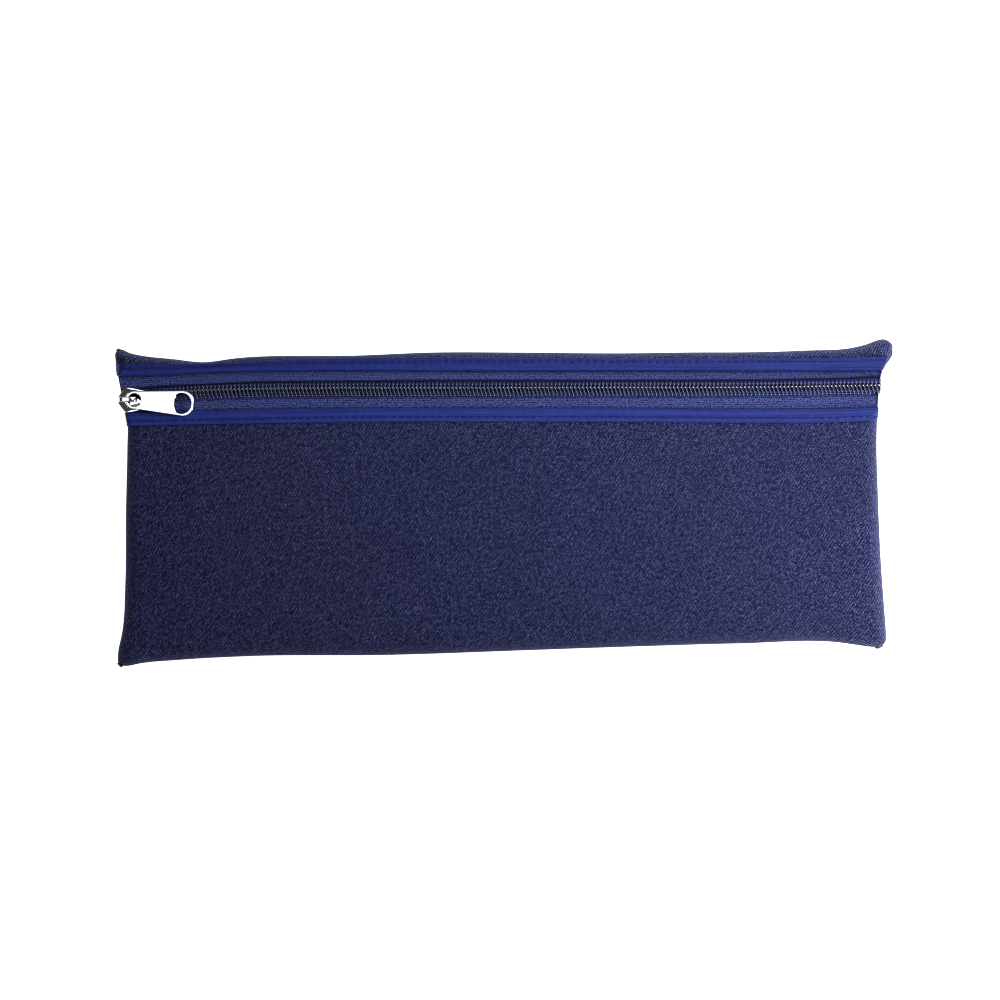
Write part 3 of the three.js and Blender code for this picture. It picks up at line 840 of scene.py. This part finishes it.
def ribbon(name, fold, side):
    """A folded ribbon along a fold line; side is -1 where its body lies below the fold."""
    profile = ribbon_profile(side)
    d, z, g = (np.array(column) for column in zip(*profile))
    around = np.concatenate([[0], np.cumsum(np.hypot(np.diff(d), np.diff(z)))])
    s = np.linspace(0, 1, 620)[:, None]
    x = flat_x(s, ZIP_Y)
    fold_y = curve_at(fold, x)
    length = x - x[0]
    dimple = 0.5 + 0.5 * np.cos(2 * math.pi * length / STITCH_PITCH)
    ruffle = np.sin(x * 0.37 + 1.2 * np.sin(x * 0.083)) + 0.6 * np.sin(x * 0.9 + 2)
    width = ribbon_spread(side, x) + 0.004 * ruffle
    on_top = (z > RIBBON_HIGH[2] - 0.45) & (d < RIBBON_WIDTH + 0.05)
    lift = 0.05 * ruffle * smoothstep(1.5, 5.5, d)
    sink = 0.16 * dimple * np.exp(-((d - RIBBON_WIDTH + STITCH_INSET) / 0.6) ** 2)
    height = z + np.where(on_top, lift - sink, 0)
    y = fold_y + side * d * width
    # Painted shade in the stitch line, deeper in each stitch's dimple.
    groove_and_painted_shade = np.where(d > 3, g * (0.65 + 0.35 * dimple), g)
    return strip(name, s, y, height, length, around, groove_and_painted_shade, SATIN)


def stitch_row(name, fold, side):
    """Topstitches lying in a ribbon's groove, each dipping into the cloth at its ends."""
    paths = []
    inset = RIBBON_WIDTH - STITCH_INSET
    top = RIBBON_HIGH[2] - 0.30
    first, last = flat_x(0, ZIP_Y) + 0.6, flat_x(1, ZIP_Y) - STITCH_PITCH
    for x in np.arange(first, last, STITCH_PITCH):
        t = np.linspace(0, 1, 9)
        at = x + 0.35 + (STITCH_PITCH - 0.7) * t
        y = curve_at(fold, at) + side * inset * ribbon_spread(side, at) + 0.10 * np.sin(at * 0.7)
        z = top + 0.24 * np.sin(math.pi * t) ** 0.6 - 0.30 * np.abs(2 * t - 1) ** 6
        paths.append(bent_over_sides(np.stack([at, y, z], -1)))
    return strands(name, paths, 0.17, TOPSTITCH, 7)


def frame_along(path):
    """Tangents and two side directions along a path, without twist."""
    path = np.asarray(path, float)
    tangent = np.gradient(path, axis=0)
    tangent /= np.linalg.norm(tangent, axis=1)[:, None]
    side = np.cross(tangent[0], (0, 0, 1.0))
    if np.linalg.norm(side) < 1e-3:
        side = np.array((1.0, 0, 0))
    sides = []
    for direction in tangent:
        side = side - direction * np.dot(side, direction)
        side = side / np.linalg.norm(side)
        sides.append(side)
    sides = np.array(sides)
    return tangent, sides, np.cross(tangent, sides)


def strands(name, paths, radius, material, sides=8, taper=True, pale=None):
    """Round strands swept along paths, all in one mesh, with the length and turn stored as weave.

    radius is one number, or one for each point of a path; pale is a share of painted highlight for each
    point.
    """
    points, weave, faces, shares = [], [], [], []
    angles = np.linspace(0, 2 * math.pi, sides, endpoint=False)
    for path in paths:
        path = np.asarray(path, float)
        _, a, b = frame_along(path)
        start = len(points)
        lengths = np.concatenate([[0], np.cumsum(np.linalg.norm(np.diff(path, axis=0), axis=1))])
        radii = np.broadcast_to(radius, len(path))
        for k, centre in enumerate(path):
            end = taper and k in (0, len(path) - 1)
            r = radii[k] * (0.45 if end else 1.0)
            for angle in angles:
                points.append(centre + r * (math.cos(angle) * a[k] + math.sin(angle) * b[k]))
                weave.append((lengths[k], angle / (2 * math.pi), 0))
                shares.append(0.0 if pale is None else pale[k])
        faces += tube_faces(len(path), sides, start)
    stored = None if pale is None else {"pale": shares}
    return flip_if_inside_out(mesh_object(name, points, faces, [material], weave, stored))


def tape(name, side):
    """Half of the zip tape: a thin woven band from under the coil to under the ribbon."""
    inner, outer = (abs(corner[1] - ZIP_Y) for corner in (TAPE_LOW, TAPE_HIGH))
    across = np.concatenate([np.linspace(inner, 4.0, 8), np.linspace(4.6, outer, 16)])
    d = np.concatenate([across, across[::-1]])
    face = np.arange(len(d)) < len(across)
    s = np.linspace(0, 1, 380)[:, None]
    x = flat_x(s, ZIP_Y)
    room = curve_at(TOP_EDGE, x) - TAPE_CLEARANCE - chain_y(x) if side > 0 else outer + 0 * x
    past = np.maximum(curve_at(LEFT_EDGE, ZIP_Y) - x, x - curve_at(RIGHT_EDGE, ZIP_Y))
    start = inner * (1 - 0.9 * smoothstep(-0.8, 0.8, past))
    y = chain_y(x) + side * (start + (d - inner) * (np.minimum(room, outer) - start) / (outer - inner))
    fold = curve_at(UPPER_FOLD if side > 0 else LOWER_FOLD, x)
    fold_shade, valley_shade, valley_at, valley_reach = TAPE_SHADES[side]
    # Painted shadow: a dark line on the tape beside the ribbon's fold, and a dark valley beside the coil.
    groove_and_painted_shade = fold_shade * np.exp(-((side * (fold - y) - 0.15) / 0.45) ** 2)
    groove_and_painted_shade = groove_and_painted_shade + valley_shade * np.exp(-((d - COIL_BACK - valley_at) / valley_reach) ** 4)
    sag = 0.12 * np.sin(x * 0.21 + side) * np.sin(math.pi * (d - inner) / (outer - inner))
    edge_dip = 0.35 * np.exp(-((d - COIL_BACK - 0.5) / 0.6) ** 2)
    z = np.where(face, TAPE_HIGH[2], TAPE_LOW[2]) + sag - edge_dip
    return strip(name, s, y, z, x, side * d, groove_and_painted_shade, TAPE)


# -------- the coil

COIL_PITCH = 1.68
WIRE = 0.32
COIL_BACK = 3.1
COIL_REACH = 0.80
LOOP_STEPS = 25
LEG_SLANT = 1.10
COIL_FROM = COIL_LOW[0]
COIL_TO = 162.0
# Where along a loop's turn the painted highlights sit: near the head and at the back.
HEAD_TURN = 0.44
BACK_TURN = 0.05
STITCH_SPAN = {1: (1.20, 2.40), -1: (0.75, 2.15)}


def loop_path(side, x):
    """One turn of the coil: up at the back, over the top, round the head and back underneath."""
    middle = (COIL_BACK - COIL_REACH) / 2
    half = (COIL_BACK + COIL_REACH) / 2 - WIRE
    rise = (COIL_HIGH[2] - COIL_LOW[2]) / 2 - WIRE
    angle = np.linspace(0, 2 * math.pi, LOOP_STEPS)
    c, s = np.cos(angle), np.sin(angle)
    d = middle + half * np.sign(c) * np.abs(c) ** 0.62
    z = COIL_MIDDLE_Z + rise * np.sign(s) * np.abs(s) ** 0.45
    turn = angle / (2 * math.pi)
    forward = np.interp(turn, (0, 0.08, 0.42, 0.58, 0.92, 1), np.cumsum((0, 0.1, 0.9, 0, 0.45, 0.13)))
    at = x + side * (forward * LEG_SLANT - LEG_SLANT)
    return bent_over_sides(np.stack([at, chain_y(at) + side * d, z], -1))


def coil_spots(side):
    """Where the loops' heads lie along the chain; the two rows are half a pitch apart."""
    phase = 0.0 if side > 0 else COIL_PITCH / 2
    first = math.ceil((COIL_FROM - phase) / COIL_PITCH)
    last = math.floor((COIL_TO - phase) / COIL_PITCH)
    return [phase + k * COIL_PITCH for k in range(first, last + 1)]


def coil(name, side):
    """A row of loops, with the heads pressed wider where they interlock.

    The lower row's heads and backs carry a painted highlight, pale glints painted on; the upper row's get
    none and stay dark.
    """
    paths = [loop_path(side, x) for x in coil_spots(side)]
    turn = np.linspace(0, 1, LOOP_STEPS)
    radius = WIRE * (1 + 0.35 * np.exp(-((turn - 0.45) / 0.07) ** 2))
    head, back = (np.exp(-((turn - place) / 0.055) ** 4) for place in (HEAD_TURN, BACK_TURN))
    # Painted highlight on the lower row only: pale glints on the heads and, fainter, on the backs.
    pale = head + 0.26 * back if side < 0 else 0.0 * turn
    return strands(name, paths, radius, NYLON, taper=False, pale=pale)


def coil_stitches(name, side):
    """The chain stitches that hold the coil down, lying along the top of each leg."""
    paths = []
    near, far = STITCH_SPAN[side]
    for x in coil_spots(side):
        t = np.linspace(0, 1, 9)
        d = near + (far - near) * t
        at = x - side * LEG_SLANT * (d + COIL_REACH) / (COIL_BACK + COIL_REACH)
        z = COIL_HIGH[2] + 0.05 - 0.40 * np.abs(2 * t - 1) ** 3
        paths.append(bent_over_sides(np.stack([at, chain_y(at) + side * d, z], -1)))
    return strands(name, paths, 0.36, COIL_STITCH)


def core_cord(name, side):
    """The filler cord that runs through the coil."""
    x = np.arange(COIL_FROM, COIL_TO, 1.2)
    path = np.stack([x, chain_y(x) + side * 1.9, COIL_MIDDLE_Z + 0 * x], -1)
    return strands(name, [bent_over_sides(path)], 0.42, CORD)


# -------- inside seams

SEAM_INSET = 2.4
OVERLOCK_STEPS = 10
BOTTOM_Y = -63.0
BOTTOM_XS = np.arange(-148, 148, 1.0)
THREAD_Z = SEAM_Z - CLOTH - 0.25


def side_line(side, inset):
    """Points along a side seam, inset from the edge, from bottom to top."""
    ys = np.arange(BOTTOM_Y + 4, 58, 1.0)
    edge = curve_at(LEFT_EDGE if side < 0 else RIGHT_EDGE, ys)
    return np.stack([edge - side * inset, ys], -1)


def bottom_line(inset):
    """Points along the bottom seam, inset from the edge, from left to right."""
    return np.stack([BOTTOM_XS, curve_at(BOTTOM_EDGE, BOTTOM_XS) + inset], -1)


def seam_stitches(name, line):
    """Straight stitches along a seam line, seen from inside on the seam allowance."""
    paths = []
    t = np.linspace(0.06, 0.94, 6)[:, None]
    for k in range(0, len(line) - 3, 3):
        flat = line[k] + (line[k + 2] - line[k]) * t
        paths.append(np.hstack([flat, THREAD_Z - 0.14 * np.sin(math.pi * t) + 0.12]))
    return strands(name, paths, 0.16, SEAM_THREAD, 6)


def overlock_loops(name, line, inward):
    """Overlock thread wound round the raw edges of a seam allowance."""
    half = (SEAM_Z - OVERLOCK_LOW_Z) / 2
    middle = (SEAM_Z + OVERLOCK_LOW_Z) / 2
    count = int(len(line) / 1.1) * OVERLOCK_STEPS
    at = np.linspace(0, len(line) - 1, count)
    places = np.arange(len(line))
    angle = 2 * math.pi * np.arange(count) / OVERLOCK_STEPS
    reach = 1.4 * np.cos(angle) - 1.2
    x = np.interp(at, places, line[:, 0]) + inward[0] * reach
    y = np.interp(at, places, line[:, 1]) + inward[1] * reach
    path = np.stack([x, y, middle + (half + 0.14) * np.sin(angle)], -1)
    return strands(name, [path], 0.17, OVERLOCK, 5)


# -------- metal


def outline_solid(name, loops, low, high, bevel, sections):
    """A flat plate from closed outlines (the first is the rim, the others are holes), with round edges."""
    data = bpy.data.curves.new(name, "CURVE")
    data.dimensions = "2D"
    data.fill_mode = "BOTH"
    for loop in loops:
        spline = data.splines.new("POLY")
        spline.points.add(len(loop) - 1)
        for point, (x, y) in zip(spline.points, loop):
            point.co = (x * MM, y * MM, 0, 1)
        spline.use_cyclic_u = True
    data.extrude = ((high - low) / 2 - bevel) * MM
    data.bevel_depth = bevel * MM
    data.bevel_resolution = sections
    data.offset = -bevel * MM
    source = new_object(name + ".curve", data)
    graph = bpy.context.evaluated_depsgraph_get()
    mesh = bpy.data.meshes.new_from_object(source.evaluated_get(graph))
    bpy.data.objects.remove(source)
    with edited(mesh) as work:
        bmesh.ops.remove_doubles(work, verts=work.verts, dist=1e-6)
        bmesh.ops.recalc_face_normals(work, faces=work.faces)
        bmesh.ops.translate(work, verts=work.verts, vec=(0, 0, (low + high) / 2 * MM))
    mesh.name = name
    mesh.materials.clear()
    mesh.materials.append(NICKEL)
    mesh.polygons.foreach_set("use_smooth", [True] * len(mesh.polygons))
    mesh.set_sharp_from_angle(angle=math.radians(50))
    return new_object(name, mesh)


def joined(name, pieces):
    """One metal object from several."""
    mesh = bpy.data.meshes.new(name)
    mesh.materials.append(NICKEL)
    with edited(mesh) as work:
        for piece in pieces:
            work.from_mesh(piece.data)
            bpy.data.meshes.remove(piece.data)
    return new_object(name, mesh)


def curve_run(start, *pieces):
    """Points on cubic curves that follow each other; each has two handles, an end and a count of points."""
    points = []
    for *ends, count in pieces:
        a, b, c, d = (np.asarray(p, float) for p in (start, *ends))
        t = np.linspace(0, 1, count, endpoint=False)[:, None]
        points += list((1 - t) ** 3 * a + 3 * t * (1 - t) ** 2 * b + 3 * t * t * (1 - t) * c + t ** 3 * d)
        start = ends[-1]
    return points


def arc(centre_x, radius, start, end, count):
    """Points on a circle about a place on the x axis, from one angle to another."""
    angles = np.radians(np.linspace(start, end, count))
    return [(centre_x + radius * math.cos(a), radius * math.sin(a)) for a in angles]


SLIDER_Y = (SLIDER_LOW[1] + SLIDER_HIGH[1]) / 2
SHOULDER_HALF = (SLIDER_HIGH[1] - SLIDER_LOW[1]) / 2
TAIL_HALF = SHOULDER_HALF - 1.9
NOSE_X = SLIDER_LOW[0]
TAIL_X = SLIDER_HIGH[0]
SHOULDER_X = NOSE_X + 3.7
PLATE = 1.15


def slider_outline(nose, half, tail):
    """The plate's rim: a blunt nose, slanting cheeks, wide shoulders and a narrower tail."""
    blunt = 1.5
    right = [(nose, 0)]
    right += curve_run(
        (nose, -0.9),
        ((nose, -1.3), (nose + 0.1, -blunt), (nose + 0.4, -blunt - 0.35), 5),
        ((SHOULDER_X - 1.5, -half + 0.9), (SHOULDER_X - 0.9, -half), (SHOULDER_X + 0.4, -half), 12),
        ((SHOULDER_X + 2.4, -half + 0.3), (TAIL_X - 8, -tail), (TAIL_X - 1.6, -tail), 8),
        ((TAIL_X - 0.3, -tail), (TAIL_X, 0.8 - tail), (TAIL_X, 2.0 - tail), 6),
    )
    left = [(x, -y) for x, y in reversed(right[1:])]
    return [(x, y + SLIDER_Y) for x, y in right + [(TAIL_X, 0)] + left]


def inset_outline(points, distance):
    """A closed outline drawn in by a distance."""
    points = np.asarray(points, float)
    along = np.roll(points, -1, 0) - np.roll(points, 1, 0)
    along /= np.linalg.norm(along, axis=1)[:, None]
    return points + distance * np.stack([-along[:, 1], along[:, 0]], -1)


def sloped_plate(name, outline, levels):
    """A plate whose face slopes in from its rim: levels are (inset, height) pairs, bottom first."""
    rings = [np.column_stack([inset_outline(outline, inset), np.full(len(outline), z)])
             for inset, z in levels]
    faces = tube_faces(len(rings), len(outline))
    # The two ends wind the other way at first, which makes set_sharp_from_angle keep their rims crisp.
    faces[-2:] = [end[::-1] for end in faces[-2:]]
    thing = mesh_object(name, np.concatenate(rings), faces, [NICKEL])
    thing.data.set_sharp_from_angle(angle=math.radians(35))
    return flip_if_inside_out(thing)


def flange_outline(side):
    """One side flange, seen from above."""
    outer, inner = [], []
    for x in np.linspace(SHOULDER_X, TAIL_X - 0.4, 12):
        t = (x - SHOULDER_X) / (TAIL_X - SHOULDER_X)
        y = SHOULDER_HALF + (TAIL_HALF - SHOULDER_HALF) * smoothstep(0, 1, t)
        outer.append((x, SLIDER_Y + side * (y - 0.02)))
        inner.append((x, SLIDER_Y + side * (y - 0.95)))
    return outer + inner[::-1]


def slider_body():
    """Two cast plates with sloping cheeks, side flanges and the divider between them."""
    upper_top, lower_bottom = SLIDER_HIGH[2], SLIDER_LOW[2]
    upper_bottom = upper_top - PLATE
    lower_top = lower_bottom + PLATE
    face = [(0.30, upper_bottom), (0.05, upper_bottom + 0.06), (0.0, upper_bottom + 0.16),
            (0.05, upper_bottom + 0.27), (0.20, upper_bottom + 0.31), (0.32, upper_bottom + 0.33),
            (2.10, upper_top - 0.10), (2.35, upper_top - 0.02), (2.60, upper_top)]
    back = [(0.40, lower_bottom), (0.10, lower_bottom + 0.12), (0.0, lower_bottom + 0.4),
            (0.0, lower_top - 0.15), (0.15, lower_top)]
    pieces = [
        sloped_plate("upper_plate", slider_outline(NOSE_X, SHOULDER_HALF, TAIL_HALF), face),
        sloped_plate("lower_plate", slider_outline(NOSE_X + 3.4, SHOULDER_HALF - 0.4, TAIL_HALF), back),
    ]
    for side in (-1, 1):
        pieces.append(outline_solid("flange", [flange_outline(side)], TAPE_HIGH[2] + 0.3,
                                    upper_bottom + 0.4, 0.2, 2))
    wedge = [(NOSE_X + 1.4, -0.9), (NOSE_X + 6.7, -0.3), (NOSE_X + 6.7, 0.3), (NOSE_X + 1.4, 0.9)]
    pieces.append(outline_solid("divider", [[(x, y + SLIDER_Y) for x, y in wedge]], lower_top - 0.4,
                                upper_bottom + 0.4, 0.15, 2))
    return joined("slider_body_cast", pieces)


PIVOT = np.array(PULL_SWING["pos_m"]) / MM
PULL_AXIS = np.array(PULL_SWING["axis"])
PULL_YAW = math.atan2(PULL_AXIS[0], -PULL_AXIS[1])
PULL_TILT = math.radians(2.5)
PULL_THICKNESS = 1.2
AT_PIVOT = Matrix.Translation(PIVOT * MM)


def crown():
    """The bail, a low bridge from the nose to the middle of the plate, drawn from the side."""
    foot = SLIDER_HIGH[2] - PIVOT[2] - 0.45
    front, rear, top = -3.2, 4.7, 2.05
    outer = [(front, foot)] + curve_run(
        (front, -0.2),
        ((front, 1.5), (front + 1.0, top), (front + 2.6, top), 10),
        ((1.0, top), (rear - 2.3, 1.7), (rear - 1.1, 0.8), 10),
        ((rear - 0.3, 0.2), (rear, -0.4), (rear, foot), 8),
    ) + [(rear, foot)]
    inner = [(rear - 1.1, foot)] + curve_run(
        (rear - 1.1, foot),
        ((rear - 1.2, -0.4), (rear - 1.9, 0.3), (rear - 2.6, 0.75), 8),
        ((1.5, 1.2), (0.8, 1.3), (0.1, 1.3), 8),
        ((-1.0, 1.3), (front + 0.85, 1.1), (front + 0.85, -0.2), 8),
    ) + [(front + 0.85, foot)]
    half = (CROWN_HIGH[1] - CROWN_LOW[1]) / 2
    bail = outline_solid("crown_bail", [outer + inner], -half, half, 0.38, 4)
    bail.data.transform(AT_PIVOT @ Matrix.Rotation(math.radians(90), 4, "X"))
    return bail


def pull_tab():
    """The long pull: a round eye, a widening grip and an egg-shaped window, with softened rims."""
    eye_x, eye_out, eye_in, neck = 3.6, 3.85, 2.72, 3.82
    length, grip_x, grip = 28.9, 24.0, 5.4
    start = math.degrees(math.asin(neck / eye_out))
    rim = arc(eye_x, eye_out, start, 360 - start, 30)
    rim += curve_run((grip_x, -grip), ((grip_x + 3.4, -grip), (length, -3), (length, 0), 10),
                     ((length, 3), (grip_x + 3.4, grip), (grip_x, grip), 10))
    rim.append((grip_x, grip))
    eye = arc(eye_x, eye_in, 0, 354, 36)
    x0, x1, h, round_x = 20.7, 27.6, 4.25, 23.6
    window = curve_run(
        (x0, 0),
        ((x0, 2.2), (x0 + 0.2, h), (round_x, h), 12),
        ((round_x + 2.4, h), (x1, 2.3), (x1, 0), 12),
        ((x1, -2.3), (round_x + 2.4, -h), (round_x, -h), 12),
        ((x0 + 0.2, -h), (x0, -2.2), (x0, 0), 12),
    )
    half = PULL_THICKNESS / 2
    thing = outline_solid("pull_tab_cast", [rim, eye, window], -half, half, 0.34, 4)
    turn = Matrix.Rotation(PULL_YAW, 4, "Z") @ Matrix.Rotation(PULL_TILT, 4, "Y")
    thing.data.transform(AT_PIVOT @ turn)
    return thing


# -------- the object


def settle(thing, body, slot, *nodes):
    """Rides a finished piece on a body and lets it stand for its CAD nodes; slot, the name of its finish,
    is not used.
    """
    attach(thing, body)
    if nodes:
        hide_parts(*nodes)
    return thing


def settle_halves(thing, node):
    """Splits a lip piece in two and lets the halves stand for a CAD node and its two sewn ends."""
    left, right = halves(thing)
    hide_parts(node)
    if node + "_left_end" in frame["nodes"]:
        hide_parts(node + "_left_end")
        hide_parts(node + "_right_end")
    return left, right


def declare_sheet(thing):
    """Reads the places of a piece's weave on the flat cloth, and does nothing more with them.

    The weave of a ribbon runs over both of its faces.
    """
    weave = thing.data.attributes["weave"].data
    places = np.empty(len(weave) * 3)
    weave.foreach_get("vector", places)


front_halves = settle_halves(front_cloth(), "front_panel")
rear_panel = settle(rear_cloth(), "root", "denim", "rear_panel")
declare_sheet(rear_panel)

upper_ribbon = settle(ribbon("upper_ribbon", UPPER_FOLD, 1), "root", "satin_binding", "upper_binding")
settle(stitch_row("upper_topstitches", UPPER_FOLD, 1), "root", "topstitch_thread", "upper_topstitch")
lower_ribbon = settle_halves(ribbon("lower_ribbon", LOWER_FOLD, -1), "lower_binding")
settle_halves(stitch_row("lower_topstitches", LOWER_FOLD, -1), "lower_topstitch")
for cover, panel in zip((upper_ribbon, *lower_ribbon), (rear_panel, *front_halves)):
    declare_sheet(cover)

upper_tape = settle(tape("upper_tape", 1), "root", "zip_tape", "upper_zip_tape")
declare_sheet(upper_tape)
for half in settle_halves(tape("lower_tape", -1), "lower_zip_tape"):
    declare_sheet(half)

settle(coil("upper_loops", 1), "root", "nylon_coil", "upper_coil")
settle_halves(coil("lower_loops", -1), "lower_coil")
settle(coil_stitches("upper_coil_stitches", 1), "root", "topstitch_thread")
settle_halves(coil_stitches("lower_coil_stitches", -1), "lower_coil")
settle(core_cord("upper_core_cord", 1), "root", "seam_thread")
settle_halves(core_cord("lower_core_cord", -1), "lower_coil")

for side, line, inward in (("left", partial(side_line, -1), (1, 0)),
                           ("right", partial(side_line, 1), (-1, 0)),
                           ("bottom", bottom_line, (0, 1))):
    settle(seam_stitches(f"{side}_seam_stitches", line(SEAM_INSET)), "root", "seam_thread",
           f"{side}_seam_thread")
    settle(overlock_loops(f"{side}_overlock_loops", line(ALLOWANCE), inward), "root", "overlock_thread",
           f"{side}_overlock")

settle(slider_body(), "slider", "nickel_plate", "slider_body")
settle(crown(), "slider", "nickel_plate", "slider_crown")
settle(pull_tab(), "pull", "nickel_plate", "pull_tab")

# -------- floor, light and camera


def floor():
    """A wide pale table top that gives off its own light, so that it stays white around the case."""
    reach = 3000
    corners = [(-reach, -reach, 0), (reach, -reach, 0), (reach, reach, 0), (-reach, reach, 0)]
    glowing = shader("pale_floor").set(color=(0.3, 0.3, 0.3, 1), rough=0.9, specular=0.1,
                                       emission=(1, 1, 1, 1), emission_strength=1.0)
    mesh_object("floor", corners, [(0, 1, 2, 3)], [glowing])


def soft_light(name, place, size, radiance):
    """A round soft box of a given brightness, pointed at the case."""
    data = bpy.data.lights.new(name, "AREA")
    data.shape = "DISK"
    data.size = size
    data.energy = radiance * math.pi * math.pi * size ** 2 / 4
    thing = new_object(name, data)
    thing.location = place
    towards = Vector((0.02, 0.0, 0.01)) - Vector(place)
    thing.rotation_euler = towards.to_track_quat("-Z", "Y").to_euler()
    thing.visible_camera = False


def overhead_world():
    """A white panel straight overhead in a dim room, so that metal has something to mirror."""
    world = bpy.data.worlds.new("studio")
    n = Nodes(world, "Background")
    up = n.split(n.add("TexCoord").outputs["Generated"])[2]
    n.plug(n.shader.inputs["Strength"], n.ramp(up, 0.90, 0.955, 0.05, 1.5, "SMOOTHSTEP"))
    n.plug(n.shader.inputs["Color"], (0.97, 0.98, 1.0, 1))
    bpy.context.scene.world = world


def studio():
    """The room, a broad main light, a small low key light from the right, and a crisp pixel filter."""
    overhead_world()
    soft_light("main", (0.20, 0.17, 0.24), 0.25, 8.9)
    soft_light("key", (0.34, -0.14, 0.12), 0.10, 51.0)
    bpy.context.scene.view_settings.view_transform = "Standard"
    bpy.context.scene.cycles.filter_width = 1.0


def camera():
    """Straight down from about 2.4 m, turned one degree, framed as a 425 mm square.

    The point aim is shown that far right of and above the picture's middle, in metres, and the
    frame is measured at the height of the case.
    """
    data = bpy.data.cameras.new("camera")
    data.lens = 200
    data.sensor_width = 36
    view_width = 0.42526
    case_height = 0.007
    roll = math.radians(-1.0)
    aim = Vector((0.0, -0.00134))
    shown_at = Vector((0.00149, -0.00098))
    right = Vector((math.cos(roll), math.sin(roll)))
    up = Vector((-math.sin(roll), math.cos(roll)))
    centre = aim - right * shown_at.x - up * shown_at.y
    thing = new_object("camera", data)
    thing.location = (centre.x, centre.y, view_width * data.lens / data.sensor_width + case_height)
    thing.rotation_euler = (0, 0, roll)
    bpy.context.scene.camera = thing


floor()
studio()
camera()
